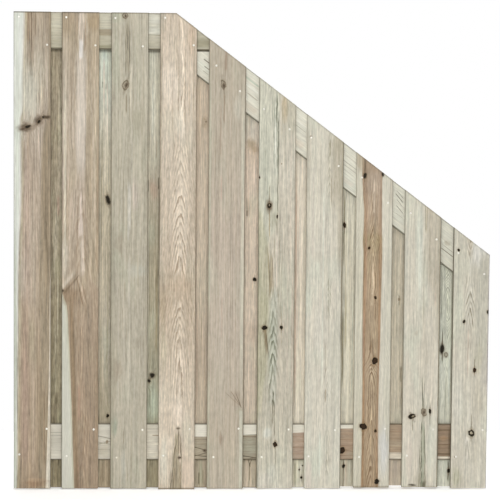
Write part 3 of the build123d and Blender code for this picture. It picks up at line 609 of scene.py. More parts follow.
BOARDS["front_board_7"] = dict(
    axes=upright(FRONT_X[6]), y=-15.0, seed=7.5, rim=0.3, edge=(0.2, 0.95), mid=0.25, fine=0.22, line=0.38, speck=0.45, dash=0.22, dash_tone=(146, 140, 118), fleck=0.06, late=((138, 132, 108), 0.8), side=0.16,
    ground=[(1800, (204, 200, 183)), (700, (205, 200, 185)), (0, (207, 204, 189))],
    alt=((208, 199, 183), 0.4), green=((197, 203, 186), 0.5),
    ring=dict(Pu=17, D0=9, Space=7.5, Wave=3, Wob=1.8, Rough=1.6, Deep=3),
    lift=[(0, 0), (240, 44), (330, 50), (400, 74), (570, 100), (650, 104), (840, 150), (1080, 158), (1380, 220), (1800, 240)],
    arches=[(18, 1385, 1090, 16, 0.7), (19, 840, 640, 16, 0.8), (11, 575, 330, 15, 0.6), (18, 240, 45, 15, 0.75)],
    patches=[(48, 1310, 26, 55, (172, 164, 141), 0.75), (50, 1180, 24, 120, (187, 179, 160), 0.6), (-46, 1390, 26, 40, (190, 190, 174), 0.5), (-40, 636, 9, 150, (202, 195, 179), 0.5), (-18, 600, 18, 100, (220, 215, 201), 0.55), (4, 832, 20, 100, (198, 191, 175), 0.55), (-22, 890, 16, 22, (190, 184, 168), 0.5), (50, 560, 22, 200, (196, 194, 178), 0.5), (-52, 60, 12, 60, (210, 198, 186), 0.6), (50, 1200, 20, 110, (178, 170, 150), 0.55), (30, 1180, 30, 140, (186, 178, 160), 0.4)],
    strokes=[
        # the last stroke here is painted shade along the right edge by the gap
        (13, 1375, 1225, 1.6, (112, 106, 84), 0.8, dict(broken=0.15)), (18, 1340, 1265, 3, (148, 140, 116), 0.7, {}), (25, 1205, 1080, 1.6, (134, 114, 94), 0.8, {}), (34, 1200, 950, 1.4, (160, 150, 128), 0.6, {}), (56, 1250, 850, 12, (189, 181, 162), 0.7, dict(Soft=0.9)), (62, 1180, 900, 2, (168, 150, 132), 0.6, {}), (67, 1420, 420, 6, (128, 118, 95), 0.75, dict(Soft=0.9)),
        (18, 835, 655, 1.8, (114, 112, 90), 0.9, dict(broken=0.2, Wob=3)), (25, 810, 690, 1.4, (134, 130, 106), 0.7, dict(Wob=2)), (8, 570, 420, 1.8, (156, 144, 122), 0.7, dict(Wob=2)), (10, 390, 330, 3.5, (164, 150, 128), 0.8, dict(Wob=3)), (14, 330, 280, 1.5, (160, 152, 130), 0.6, {}),
        (18, 235, 50, 1.6, (120, 114, 92), 0.8, dict(broken=0.15, Wob=2)), (24, 200, 90, 1.4, (140, 134, 112), 0.6, {}), (-4, 1200, 300, 4.5, (206, 210, 197), 0.5, {}), (-18, 1380, 1000, 1.3, (182, 174, 152), 0.6, {}), (-30, 1300, 900, 1.3, (186, 176, 156), 0.6, {}), (-44, 1250, 850, 3, (211, 199, 185), 0.6, {}),
        (-58, 800, 200, 1.4, (182, 176, 158), 0.6, {}), (-26, 600, 100, 1.3, (186, 178, 160), 0.6, {}), (34, 700, 250, 1.4, (178, 172, 152), 0.6, {}), (-10, 240, 20, 4, (206, 210, 198), 0.6, {}), (44, 500, 80, 1.3, (182, 176, 158), 0.5, {}), (-58, 1330, 1000, 1.3, (180, 170, 148), 0.6, {}),
        (59, 1320, 790, 15, (170, 163, 145), 0.6, dict(Soft=0.9)), (-63, 1450, 740, 12, (190, 184, 167), 0.6, dict(Soft=0.9)), (20, 710, 565, 4, (180, 172, 155), 0.6, dict(Wob=3)),
    ],
    knots=[(-55, 1342, 4, 1.2, 0, "faint")],
)

BOARDS["front_board_8"] = dict(
    axes=upright(FRONT_X[7]), y=-15.0, seed=8.2, rim=0.4, mid=0.36, fine=0.3, line=0.5, speck=0.5, dash=0.12, edge=(0.12, 0.5), late=((106, 80, 54), 1.0), side=0.25, early=((212, 193, 165), 0.36), arches=[(-3, 1250, -100, 27, 0.9)],
    ground=[(1300, (160, 144, 125)), (1150, (173, 158, 142)), (1050, (170, 153, 134)), (960, (155, 138, 110)), (920, (158, 141, 113)), (800, (165, 146, 122)), (600, (159, 141, 115)), (450, (162, 145, 121)), (250, (160, 142, 116)), (0, (154, 133, 105))],
    alt=((163, 142, 118), 0.45), green=((160, 148, 112), 0.3),
    ring=dict(Pu=-3, D0=10, Space=8.0, Wave=2, Wob=2.4, Rough=2.0, Deep=4),
    lift=[(0, 0), (160, 30), (310, 46), (430, 50), (520, 80), (900, 110), (1010, 140), (1200, 160), (1800, 200)],
    bands=[
        dict(side="L", soft=1.8, wob=4.0, calm=0.4, tones=((203, 199, 182), (197, 193, 175)), rim=((152, 122, 96), 0.65, -4.5, 5.0),
             line=[(1800, -48), (1200, -48), (1130, -45), (1060, -40), (1000, -41), (950, -43), (900, -40), (700, -41), (500, -39), (300, -38), (150, -38), (0, -39)]),
        dict(side="R", soft=1.8, wob=4.0, calm=0.4, tones=((208, 204, 189), (202, 199, 183)), rim=((154, 126, 101), 0.55, -4.0, 5.0),
             line=[(1800, 28), (1200, 28), (1000, 29), (900, 32), (700, 29), (500, 26), (300, 23), (150, 24), (0, 29)]),
    ],
    patches=[(-54, 1262, 20, 50, (168, 154, 130), 0.7), (0, 945, 38, 36, (160, 146, 111), 0.6), (46, 150, 18, 90, (205, 207, 206), 0.7), (-6, 1240, 40, 40, (158, 138, 114), 0.5), (19, 800, 12, 150, (148, 126, 98), 0.5), (-36, 1168, 9, 90, (138, 114, 90), 0.55)],
    strokes=[
        (0, 1198, 1030, 7, (215, 201, 181), 0.92, dict(Wob=5, broken=0.15)), (-10, 1150, 1010, 1.5, (120, 96, 72), 0.8, dict(Wob=4)), (6, 1150, 1010, 1.5, (120, 96, 72), 0.8, dict(Wob=4)), (-2, 980, 880, 5, (196, 178, 146), 0.7, dict(Wob=8)), (-14, 990, 900, 1.6, (110, 88, 62), 0.7, dict(Wob=8)),
        (14, 990, 900, 1.6, (110, 88, 62), 0.7, dict(Wob=8)), (-2, 870, 735, 6, (203, 185, 156), 0.85, dict(Wob=5)), (-12, 860, 720, 1.5, (124, 98, 70), 0.8, dict(Wob=4)), (8, 860, 760, 1.5, (120, 94, 66), 0.8, dict(Wob=3)), (-4, 650, 560, 4, (198, 178, 148), 0.7, dict(Wob=4)), (-14, 640, 520, 1.5, (122, 98, 70), 0.7, dict(Wob=3)),
        (-3, 465, 390, 6, (192, 174, 146), 0.55, dict(Wob=6)), (-9, 480, 425, 3.4, (222, 205, 176), 0.85, dict(Slant=70, Wob=3)), (6, 472, 425, 3, (216, 198, 167), 0.75, dict(Slant=-90, Wob=3)), (0, 1014, 930, 14, (150, 132, 102), 0.5, dict(Top=0.3)), (-3, 895, 760, 5, (208, 190, 163), 0.75, dict(broken=0.2, Wob=6)), (-4, 760, 700, 6, (212, 194, 166), 0.8, dict(Wob=4)), (-6, 480, 420, 1.6, (112, 88, 60), 0.8, dict(Wob=8)), (-4, 320, 205, 6, (199, 179, 147), 0.8, dict(Wob=6)), (-12, 330, 190, 1.5, (116, 92, 62), 0.8, dict(Wob=6)), (5, 320, 170, 1.5, (116, 92, 62), 0.8, dict(Wob=6)), (-2, 205, 155, 7, (192, 170, 136), 0.7, dict(Wob=6)),
        (-32, 1180, 0, 5.5, (160, 124, 91), 0.6, dict(Soft=0.9, FadeB=0.01)), (23, 1180, 0, 5.5, (156, 122, 90), 0.5, dict(Soft=0.9, FadeB=0.01)), (-28, 1180, 700, 4, (177, 147, 123), 0.6, {}), (24, 1180, 950, 4, (170, 146, 124), 0.7, {}), (27, 700, 500, 3, (173, 140, 112), 0.7, {}), (-35, 700, 480, 2.4, (188, 152, 130), 0.7, {}), (8, 732, 640, 2.2, (100, 75, 50), 0.9, dict(Wob=1)), (-38, 1290, 1185, 3.5, (82, 66, 50), 0.8, dict(Wob=1)), (29, 1245, 1185, 2.6, (92, 74, 56), 0.8, dict(Wob=1)),
        (-32, 225, 120, 2.2, (112, 86, 58), 0.8, {}), (8, 130, 30, 2.4, (112, 84, 54), 0.7, dict(Slant=-40)), (-8, 120, 0, 1.8, (110, 84, 56), 0.7, {}), (-20, 100, 0, 1.6, (116, 90, 60), 0.6, {}), (16, 120, 40, 1.6, (106, 80, 52), 0.7, {}),
        (56, 1150, 100, 1.5, (184, 182, 164), 0.6, {}), (-58, 1250, 100, 1.5, (184, 178, 158), 0.6, {}), (-48, 1200, 300, 2, (214, 211, 196), 0.6, {}), (40, 1100, 300, 2, (216, 213, 200), 0.6, {}),
        # the last stroke here is painted shade: a dark band across the foot of the board
        (6, 865, 640, 2.2, (116, 90, 62), 0.75, dict(Wob=4)), (63, 1260, 1060, 10, (178, 171, 154), 0.55, dict(Soft=0.9)), (0, 17, -6, 80, (104, 94, 74), 0.55, dict(Soft=0.1, FadeA=0.4, FadeB=0.01, Wob=0)),
    ],
    knots=[(-38, 1197, 6.5, 1.8, 0, "blot"), (30, 1203, 4.4, 1.7, 0, "blot"), (-18, 924, 4.6, 1.1, 0, "dark"), (8, 735, 5, 1.15, 0, "dark"), (8, 493, 11, 1.1, 0, "dark"), (-32, 242, 12, 1.05, 0, "dark"), (15, 225, 4.8, 1.2, 0, "dark"), (22, 30, 9, 1.1, 0, "black")],
    bend=11.0,
)

BOARDS["front_board_9"] = dict(
    axes=upright(FRONT_X[8]), y=-15.0, seed=9.6, rim=0.4, edge=(0.5, 1.0), mid=0.23, fine=0.2, line=0.42, speck=0.45, dash=0.14, dash_tone=(150, 142, 120), fleck=0.05, late=((176, 166, 146), 0.3), side=0.9,
    ground=[(1800, (201, 196, 179)), (900, (203, 199, 183)), (500, (205, 200, 184)), (0, (205, 200, 184))],
    alt=((207, 197, 181), 0.4), green=((197, 202, 184), 0.45),
    ring=dict(Pu=8, D0=48, Ds=5, Space=7.0, Wave=4, Wob=1.6, Rough=0.6),
    bands=[dict(side="R", soft=12.0, wob=16.0, amount=0.75, tones=((191, 183, 165), (184, 175, 157)),
                line=[(1800, 10), (1000, 9), (850, 12), (760, 40), (680, 60), (600, 90), (0, 110)])],
    patches=[(-12, 900, 14, 200, (207, 210, 196), 0.7), (-48, 1058, 4.5, 5, (158, 124, 108), 0.8), (14, 22, 12, 16, (78, 76, 60), 0.95), (-27, 17, 17, 5, (76, 70, 54), 0.95), (-20, 600, 8, 10, (180, 170, 150), 0.5),
             (30, 1085, 22, 30, (186, 174, 154), 0.5), (40, 180, 18, 120, (203, 205, 190), 0.6), (-40, 120, 14, 80, (209, 198, 184), 0.6), (4, 30, 22, 40, (170, 164, 144), 0.6)],
    strokes=[
        (8, 1095, 975, 1.6, (122, 114, 92), 0.9, dict(Wob=3)), (14, 1085, 975, 3.5, (166, 156, 134), 0.8, dict(Wob=3)), (6, 980, 600, 1.3, (156, 148, 126), 0.7, dict(Wob=2)), (24, 1050, 820, 1.4, (166, 156, 136), 0.6, {}), (50, 1040, 640, 2, (176, 160, 142), 0.6, {}), (50, 760, 700, 3, (196, 176, 160), 0.6, {}),
        (-20, 950, 600, 1.4, (190, 182, 162), 0.6, {}), (-34, 1080, 700, 1.4, (188, 180, 160), 0.6, {}), (-48, 900, 400, 1.4, (190, 180, 162), 0.6, {}), (20, 600, 420, 1.4, (184, 176, 156), 0.6, {}), (-10, 560, 430, 1.4, (190, 180, 160), 0.6, {}),
        (4, 445, 300, 4.0, (78, 78, 60), 0.95, dict(Slant=40, Wob=3, Top=0.4)), (14, 420, 315, 1.4, (104, 102, 82), 0.8, dict(Slant=-20, Wob=3)), (24, 540, 480, 1.3, (170, 160, 140), 0.6, {}), (12, 280, -6, 7, (160, 164, 143), 0.9, dict(Wob=5, FadeB=0.01)), (6, 300, -6, 2.6, (84, 88, 68), 0.95, dict(Wob=5, FadeB=0.01)),
        (16, 265, -6, 2.6, (86, 90, 68), 0.9, dict(Slant=20, Wob=4, FadeB=0.01)), (1, 180, -6, 2.2, (96, 96, 74), 0.85, dict(Slant=-25, Wob=3, FadeB=0.01)), (22, 330, 270, 1.4, (110, 106, 84), 0.7, dict(Slant=60, Wob=2)), (8, 330, 270, 1.4, (108, 104, 82), 0.7, dict(Wob=2)),
        # the last stroke here is painted shade along the right edge by the gap
        (-32, 274, 222, 2.2, (120, 112, 90), 0.9, dict(Slant=70, Wob=1)), (37, 338, 236, 1.6, (80, 76, 58), 0.95, dict(Wob=1)), (30, 240, 100, 1.3, (176, 172, 154), 0.6, {}), (-16, 260, 40, 1.3, (184, 174, 156), 0.6, {}), (15, 36, -6, 9, (88, 86, 68), 0.85, dict(FadeA=0.4, FadeB=0.01, Soft=0.8)), (67, 1100, -6, 4.5, (112, 103, 83), 0.75, dict(Soft=0.8, FadeB=0.01)),
        # the last stroke here is painted shade: a dark band across the foot of the board
        (61, 1110, 520, 13, (172, 165, 147), 0.6, dict(Soft=0.9)), (0, 16, -6, 80, (112, 106, 86), 0.5, dict(Soft=0.1, FadeA=0.4, FadeB=0.01, Wob=0)),
    ],
    knots=[(-33, 281, 13, 0.66, 25, "black"), (-28, 282, 4.6, 0.55, 25, "faint"), (13, 296, 10, 1.5, 0, "loop"), (13, 296, 5, 1.5, 0, "smear"), (37, 300, 4.4, 2.5, 0, "black")], bend=8.0,
)

BOARDS["front_board_10"] = dict(
    axes=upright(FRONT_X[9]), y=-15.0, seed=10.3, rim=0.3, edge=(0.9, 0.66), mid=0.24, fine=0.2, line=0.5, speck=0.55, dash=0.12, dash_tone=(150, 142, 120), fleck=0.05, late=((124, 115, 93), 1.0), side=0.12, early=((224, 219, 205), 0.35),
    ground=[(1800, (198, 194, 178)), (900, (199, 195, 179)), (450, (203, 198, 182)), (0, (203, 198, 183))],
    alt=((193, 185, 168), 0.4), green=((197, 201, 183), 0.45),
    ring=dict(Pu=-4, D0=6, Space=9.5, Wave=2, Wob=1.6, Rough=1.3, Deep=2),
    lift=[(0, 0), (640, 40), (820, 76), (880, 70), (1000, 40), (1800, 30)],
    arches=[(-4, 830, 610, 26, 1.0), (-6, 1000, 860, 18, 0.8), (-4, 210, 110, 20, 0.8)],
    bands=[dict(side="R", soft=8.0, wob=8.0, amount=0.7, tones=((184, 181, 166), (188, 184, 169)),
                line=[(1800, 60), (1000, 40), (860, 30), (700, 20), (560, 30), (480, 50), (380, 100), (0, 110)])],
    patches=[(-6, 190, 10, 14, (221, 216, 204), 0.8), (-46, 50, 18, 44, (181, 180, 152), 0.55), (-45, 700, 20, 160, (197, 198, 180), 0.5), (30, 500, 20, 60, (182, 178, 156), 0.5), (24, 170, 26, 70, (193, 187, 170), 0.5), (18, 915, 20, 60, (222, 219, 210), 0.6), (42, 965, 34, 70, (223, 221, 213), 0.55), (-32, 820, 22, 110, (188, 183, 167), 0.5), (60, 440, 20, 70, (182, 176, 166), 0.5), (-46, 330, 24, 130, (211, 208, 195), 0.5), (36, 345, 17, 90, (187, 180, 162), 0.6)],
    strokes=[
        (-6, 985, 885, 9, (176, 165, 145), 0.85, dict(Top=1.7, Soft=0.5, Wob=1)), (-15, 950, 870, 1.8, (221, 217, 203), 0.85, dict(Slant=120, Wob=1)), (4, 950, 870, 1.8, (221, 217, 203), 0.85, dict(Slant=-120, Wob=1)), (-5, 885, 812, 4, (219, 215, 201), 0.8, {}),
        (-5, 812, 700, 1.5, (222, 218, 204), 0.8, dict(Slant=110, Wob=1)), (-5, 812, 700, 1.5, (222, 218, 204), 0.8, dict(Slant=-110, Wob=1)), (-4, 750, 640, 1.5, (218, 213, 199), 0.7, dict(Slant=120, Wob=1)), (-4, 750, 640, 1.5, (218, 213, 199), 0.7, dict(Slant=-120, Wob=1)),
        (-8, 640, 420, 2.6, (187, 165, 148), 0.7, dict(Wob=3)), (2, 640, 520, 1.4, (168, 148, 128), 0.6, dict(Wob=2)), (-18, 600, 420, 1.3, (180, 166, 148), 0.6, {}), (34, 600, 430, 1.4, (168, 162, 138), 0.7, {}), (44, 640, 470, 1.4, (172, 166, 144), 0.6, {}), (66, 900, 300, 3.5, (178, 170, 166), 0.8, {}),
        (18, 505, 465, 1.7, (104, 92, 70), 0.9, dict(Wob=1)), (9, 295, 226, 1.7, (112, 102, 80), 0.9, dict(Wob=1)), (-11, 285, 200, 1.8, (216, 209, 195), 0.8, dict(Wob=6)), (0, 370, 240, 1.8, (215, 209, 196), 0.7, dict(Wob=6)), (-4, 170, 110, 4.5, (215, 209, 196), 0.7, dict(Wob=4)), (-12, 165, 125, 1.4, (146, 136, 114), 0.7, dict(Wob=3)),
        (-2, 270, 210, 1.3, (160, 148, 128), 0.6, dict(Wob=5)), (-14, 240, 180, 1.3, (162, 150, 130), 0.6, dict(Wob=5)), (-38, 85, 0, 1.4, (104, 98, 74), 0.8, dict(Wob=2, FadeB=0.01)), (-30, 60, 0, 1.3, (120, 112, 88), 0.7, {}), (-52, 70, 10, 1.3, (130, 124, 98), 0.6, {}), (26, 380, 40, 1.3, (180, 172, 154), 0.5, {}), (-28, 860, 300, 1.3, (184, 178, 160), 0.5, {}), (40, 300, 40, 1.3, (182, 176, 160), 0.5, {}),
    ],
    knots=[(-50, 918, 4.4, 1.1, 0, "black"), (-25, 645, 4.8, 1.25, 0, "black"), (66, 682, 5, 1.4, 0, "black"), (18, 458, 6.8, 1.25, 0, "dark"), (9, 217, 12, 1.05, 0, "ring"), (-52, 125, 3, 1, 0, "faint")],
    bend=10.0,
)

# each back board's gain is painted light, brightening it against the shade it sits in between the front boards
BACKS = {
    1: dict(ground=[(1800, (166, 156, 135)), (1500, (169, 159, 139)), (1100, (163, 153, 133)), (700, (147, 138, 116)), (300, (145, 137, 114)), (111, (138, 130, 106)), (0, (132, 124, 100))],
            alt=((136, 124, 102), 0.5), green=((160, 160, 132), 0.3), late=((108, 96, 74), 0.55), mid=0.6, fine=0.3, line=0.8, speck=1.3, dash=0.6, dash_tone=(92, 82, 60), fleck=0.4, gain=1.34,
            strokes=[(0, 1080, 860, 3, (192, 186, 166), 0.75, dict(broken=0.25, Wob=3)), (-7, 1000, 760, 2.5, (188, 182, 162), 0.7, dict(broken=0.25, Wob=3)), (6, 820, 560, 3, (190, 184, 162), 0.75, dict(broken=0.25, Wob=3)),
                     (-3, 640, 330, 3, (186, 180, 158), 0.7, dict(broken=0.25, Wob=3)), (10, 1560, 1300, 3, (180, 174, 152), 0.5, dict(broken=0.2)), (8, 1120, 1030, 6, (170, 136, 122), 0.45, {}),
                     (-12, 1500, 1100, 2, (112, 100, 78), 0.6, {}), (12, 1100, 500, 2, (106, 96, 72), 0.6, {}), (-14, 700, 300, 2.5, (104, 96, 72), 0.6, {}), (2, 1400, 1150, 2, (118, 106, 84), 0.5, {}),
                     (4, 105, 10, 2.5, (98, 92, 66), 0.6, {}), (-9, 100, 8, 2, (170, 164, 138), 0.5, {})]),
    2: dict(ground=[(1800, (196, 200, 182)), (1640, (199, 207, 194)), (1450, (202, 201, 187)), (1300, (196, 190, 171)), (1100, (188, 180, 159)), (900, (185, 176, 156)), (600, (187, 179, 161)), (300, (174, 165, 143)), (111, (164, 148, 124)), (0, (158, 142, 118))],
            alt=((178, 166, 142), 0.4), green=((186, 194, 174), 0.25), late=((140, 130, 104), 0.45), mid=0.42, line=0.8, speck=0.7, dash=0.15, gain=1.2,
            strokes=[(-4, 1640, 1440, 5, (214, 202, 186), 0.7, dict(Wob=3)), (8, 1560, 1300, 3, (216, 204, 188), 0.7, {}), (0, 1480, 1120, 5, (212, 204, 186), 0.6, dict(Wob=3)), (-10, 1545, 1518, 4, (120, 118, 98), 0.5, {}),
                     (4, 1538, 1512, 3, (126, 122, 102), 0.5, {}), (-12, 1400, 900, 2, (150, 140, 114), 0.6, {}), (13, 1060, 500, 3, (148, 140, 116), 0.6, {}), (-6, 900, 300, 3, (196, 186, 164), 0.6, dict(broken=0.2)),
                     (8, 660, 320, 3, (150, 146, 122), 0.5, {}), (2, 1000, 700, 2, (148, 136, 112), 0.5, {}), (-14, 700, 280, 3, (150, 140, 114), 0.5, {}), (-6, 100, 10, 4, (130, 114, 90), 0.5, {})],
            knots=[(12, 1098, 9.5, 2.0, 10, "blot"), (13, 277, 5.5, 1.1, 0, "black")]),
    3: dict(ground=[(1800, (202, 200, 185)), (1500, (199, 197, 181)), (1300, (193, 188, 171)), (1150, (177, 169, 151)), (900, (163, 155, 134)), (600, (162, 156, 135)), (430, (165, 162, 141)), (320, (183, 187, 167)), (250, (166, 166, 142)), (111, (154, 146, 122)), (0, (148, 140, 116))],
            alt=((162, 152, 128), 0.4), green=((184, 190, 170), 0.3), late=((126, 112, 86), 0.45), mid=0.42, line=0.6, speck=0.7, dash=0.25, gain=1.29,
            patches=[(0, 1140, 20, 40, (172, 148, 130), 0.6), (4, 330, 24, 70, (174, 183, 162), 0.5)],
            strokes=[(-20, 1180, 1125, 5, (84, 76, 60), 0.8, {}), (18, 1190, 1135, 4, (92, 82, 64), 0.75, {}), (20, 1150, 880, 3, (112, 100, 78), 0.65, {}), (13, 900, 480, 6, (146, 132, 102), 0.6, {}), (-6, 1560, 1320, 6, (206, 206, 192), 0.5, {}),
                     (4, 860, 520, 2, (190, 182, 160), 0.5, {}), (-12, 390, 300, 2.5, (104, 106, 84), 0.65, {}), (6, 400, 270, 2, (196, 202, 184), 0.6, {}), (10, 1330, 1250, 5, (166, 148, 126), 0.4, {}), (-14, 1000, 600, 2, (140, 128, 102), 0.5, {}),
                     # the last stroke here is painted light, lifting the left side of the gap out of its shade
                     (0, 110, 20, 3, (128, 118, 92), 0.5, {}), (12, 100, 10, 4, (122, 114, 90), 0.5, {}), (-19, 1600, 250, 6, (196, 190, 172), 0.4, dict(Soft=0.9))],
            knots=[(-2, 432, 9.5, 1.1, -25, "blot"), (-14, 412, 6.5, 1.1, 0, "blot")]),
    4: dict(ground=[(1800, (194, 183, 163)), (1300, (191, 178, 159)), (700, (188, 175, 156)), (260, (186, 173, 153)), (111, (168, 162, 142)), (0, (160, 154, 132))],
            alt=((176, 158, 138), 0.45), green=((186, 182, 162), 0.3), late=((142, 122, 98), 0.45), mid=0.42, line=0.7, speck=0.5, dash=0.18, gain=1.27,
            patches=[(8, 1396, 16, 30, (158, 142, 120), 0.65)],
            strokes=[(-14, 1560, 1200, 3, (150, 130, 108), 0.5, {}), (10, 1080, 960, 4, (160, 144, 124), 0.6, {}), (-4, 1300, 900, 3, (206, 194, 176), 0.5, {}), (6, 900, 500, 2.5, (204, 192, 172), 0.5, {}), (-16, 700, 300, 4, (170, 148, 130), 0.5, {}),
                     (0, 700, 400, 1.8, (158, 140, 116), 0.6, {}), (12, 600, 280, 2, (160, 142, 120), 0.5, {}), (0, 105, 10, 10, (150, 152, 130), 0.5, {}), (-6, 64, 8, 5, (92, 86, 66), 0.8, dict(broken=0.2)), (8, 74, 10, 4, (88, 82, 62), 0.8, dict(broken=0.2))],
            knots=[(12, 1396, 4, 0.8, 0, "faint")]),
    5: dict(ground=[(1800, (202, 195, 178)), (1330, (200, 194, 179)), (1290, (198, 182, 162)), (1200, (205, 190, 172)), (800, (200, 187, 168)), (260, (199, 187, 168)), (111, (176, 166, 144)), (0, (186, 176, 156))],
            alt=((204, 188, 170), 0.45), late=((164, 144, 120), 0.4), mid=0.36, line=0.8, speck=0.6, dash=0.12, gain=1.18,
            patches=[(-4, 1310, 22, 24, (160, 140, 112), 0.65), (14, 1290, 14, 16, (156, 134, 106), 0.5), (-14, 1075, 12, 40, (170, 156, 136), 0.6), (0, 600, 22, 40, (184, 166, 146), 0.5)],
            strokes=[(10, 1240, 1100, 5, (214, 198, 182), 0.5, {}), (-18, 1064, 1038, 4, (96, 84, 64), 0.7, {}), (4, 830, 720, 4, (180, 162, 140), 0.5, {}), (-6, 760, 300, 3, (212, 198, 182), 0.5, {}), (10, 700, 400, 2, (178, 160, 140), 0.5, {}),
                     (-10, 1500, 1340, 2, (172, 160, 138), 0.5, {}), (-12, 1250, 700, 1.8, (182, 160, 142), 0.5, {}), (-8, 118, 78, 2.4, (70, 62, 46), 0.85, dict(Slant=300)), (8, 114, 80, 2.4, (76, 68, 50), 0.85, dict(Slant=-260)), (0, 98, 20, 2.5, (106, 94, 72), 0.75, {})],
            knots=[(13, 800, 6.5, 1.0, 0, "black")]),
    6: dict(ground=[(1800, (186, 181, 167)), (900, (206, 198, 181)), (260, (205, 198, 181)), (111, (188, 183, 166)), (0, (192, 188, 172))],
            alt=((208, 199, 183), 0.45), late=((174, 158, 134), 0.4), mid=0.34, line=0.9, speck=0.5, dash=0.14, gain=1.31,
            strokes=[(-16, 1260, 250, 4, (174, 146, 128), 0.65, dict(Wob=2)), (-20, 1260, 250, 3, (146, 124, 104), 0.55, {}), (-8, 1200, 500, 2, (188, 166, 148), 0.5, {}), (4, 1200, 400, 3, (218, 208, 192), 0.6, {}), (12, 1100, 300, 2, (194, 182, 162), 0.5, {}),
                     (0, 900, 300, 1.6, (188, 174, 154), 0.5, {}), (-12, 110, 0, 8, (142, 136, 112), 0.7, dict(Soft=1.0)), (10, 105, 5, 8, (216, 212, 198), 0.6, {}), (14, 100, 10, 5, (84, 76, 56), 0.75, dict(broken=0.1)), (5, 92, 10, 4, (94, 86, 64), 0.65, dict(broken=0.1))],
            knots=[(12, 40, 4, 1.2, 0, "black"), (4, 70, 2.6, 1.2, 0, "dark"), (16, 86, 2.4, 1.0, 0, "dark")]),
    7: dict(ground=[(1800, (205, 202, 185)), (900, (205, 201, 184)), (400, (204, 199, 181)), (260, (202, 196, 178)), (111, (186, 180, 160)), (0, (184, 178, 160))],
            alt=((198, 190, 170), 0.35), green=((198, 204, 188), 0.3), late=((168, 156, 128), 0.4), mid=0.36, line=0.8, speck=0.5, dash=0.14, gain=1.18,
            # the first two strokes here are painted shade down the left side of the gap
            strokes=[(-20, 1150, 840, 4, (118, 108, 78), 0.75, dict(Wob=2)), (-21, 700, 380, 5, (120, 110, 78), 0.75, dict(Soft=0.9, Wob=2)), (-12, 1100, 500, 3, (168, 158, 130), 0.6, {}), (-10, 760, 520, 5, (174, 164, 128), 0.5, {}), (16, 800, 300, 4, (196, 200, 182), 0.5, {}),
                     (4, 1100, 500, 1.6, (184, 174, 150), 0.6, {}), (10, 900, 300, 1.6, (186, 178, 156), 0.5, {}), (-13, 118, 5, 3, (84, 70, 48), 0.9, dict(Wob=2, FadeB=0.02)), (-3, 120, 5, 3, (206, 188, 168), 0.6, {}), (10, 115, 8, 7, (204, 202, 184), 0.6, {})],
            knots=[(-19, 1008, 5.5, 1.8, 0, "dark"), (-12, 84, 5.5, 1.2, 0, "black")]),
    8: dict(ground=[(1800, (190, 183, 165)), (700, (184, 176, 158)), (260, (184, 176, 158)), (111, (186, 174, 158)), (0, (184, 170, 154))],
            alt=((176, 166, 146), 0.4), green=((180, 183, 166), 0.25), late=((144, 134, 110), 0.45), mid=0.4, line=0.7, speck=0.6, dash=0.2, gain=1.28,
            strokes=[(-4, 940, 560, 2, (146, 138, 116), 0.6, {}), (10, 920, 300, 2, (156, 146, 124), 0.55, {}), (-12, 900, 300, 2, (160, 152, 130), 0.5, {}), (2, 900, 600, 2.5, (204, 198, 180), 0.55, {}), (-6, 560, 280, 2.5, (202, 194, 176), 0.55, {}),
                     (6, 745, 700, 4, (134, 122, 100), 0.65, {}), (16, 474, 402, 6, (112, 104, 86), 0.7, {}), (18, 420, 300, 3, (138, 128, 106), 0.5, {})],
            knots=[(5, 726, 4.4, 1.2, 0, "faint")]),
    9: dict(ground=[(1800, (190, 189, 173)), (800, (194, 194, 179)), (560, (195, 196, 181)), (450, (199, 200, 186)), (260, (196, 194, 178)), (111, (198, 196, 182)), (0, (196, 194, 180))],
            alt=((180, 180, 162), 0.4), green=((188, 196, 179), 0.35), late=((112, 110, 88), 0.8), side=0.2, mid=0.36, line=0.7, speck=0.7, dash=0.14, gain=1.27,
            ring=dict(Pu=3, D0=8, Space=7.5, Wave=2, Wob=1.4, Rough=1.2, Deep=3), lift=[(0, 0), (420, 30), (560, 46), (700, 0), (860, 60), (1000, 80), (1800, 100)], arches=[(3, 880, 540, 20, 1.0), (3, 480, 260, 16, 0.7)],
            strokes=[(-13, 620, 470, 3, (76, 72, 54), 0.85, dict(Wob=2)), (14, 560, 300, 4, (206, 210, 198), 0.5, {}), (16, 110, 20, 4, (80, 72, 54), 0.8, {}), (2, 450, 280, 2, (146, 144, 122), 0.6, {}), (20, 940, 260, 3, (112, 106, 86), 0.6, {}),
                     (-18, 850, 640, 2, (120, 118, 96), 0.6, {}), (0, 400, 260, 1.8, (138, 138, 116), 0.6, {})],
            knots=[(-14, 535, 8.5, 2.2, 0, "blot"), (1, 514, 7, 1.3, 0, "loop"), (18, 66, 5.5, 1.7, 0, "black")]),
}
for n, b in BACKS.items():
    b = dict(b)
    x = BACK_X[n - 1]
    b.update(axes=upright(x + 0.0042 * (x + 330.0)), y=15.0, seed=20.0 + n * 3.17, half=69.0 + 0.0042 * abs(x + 330.0))
    if "ring" not in b:
        b["ring"] = dict(Pu=(-1) ** n * (30.0 + 9 * n), D0=-(34.0 + 5 * n), Ds=5.0, Space=5.2, Wave=5, Wob=2, Rough=0.8, Deep=3)
    # painted shadow: a dark band just under the top rail, on the front face of back boards 1 to 4
    if n < 5:
        b["strokes"] = b["strokes"] + [(0, 1664, 1648, 80, (70, 64, 50), 0.6, dict(Soft=0.1, FadeA=0.3, FadeB=0.6, Wob=0, front=True))]
    BOARDS[f"back_board_{n}"] = b
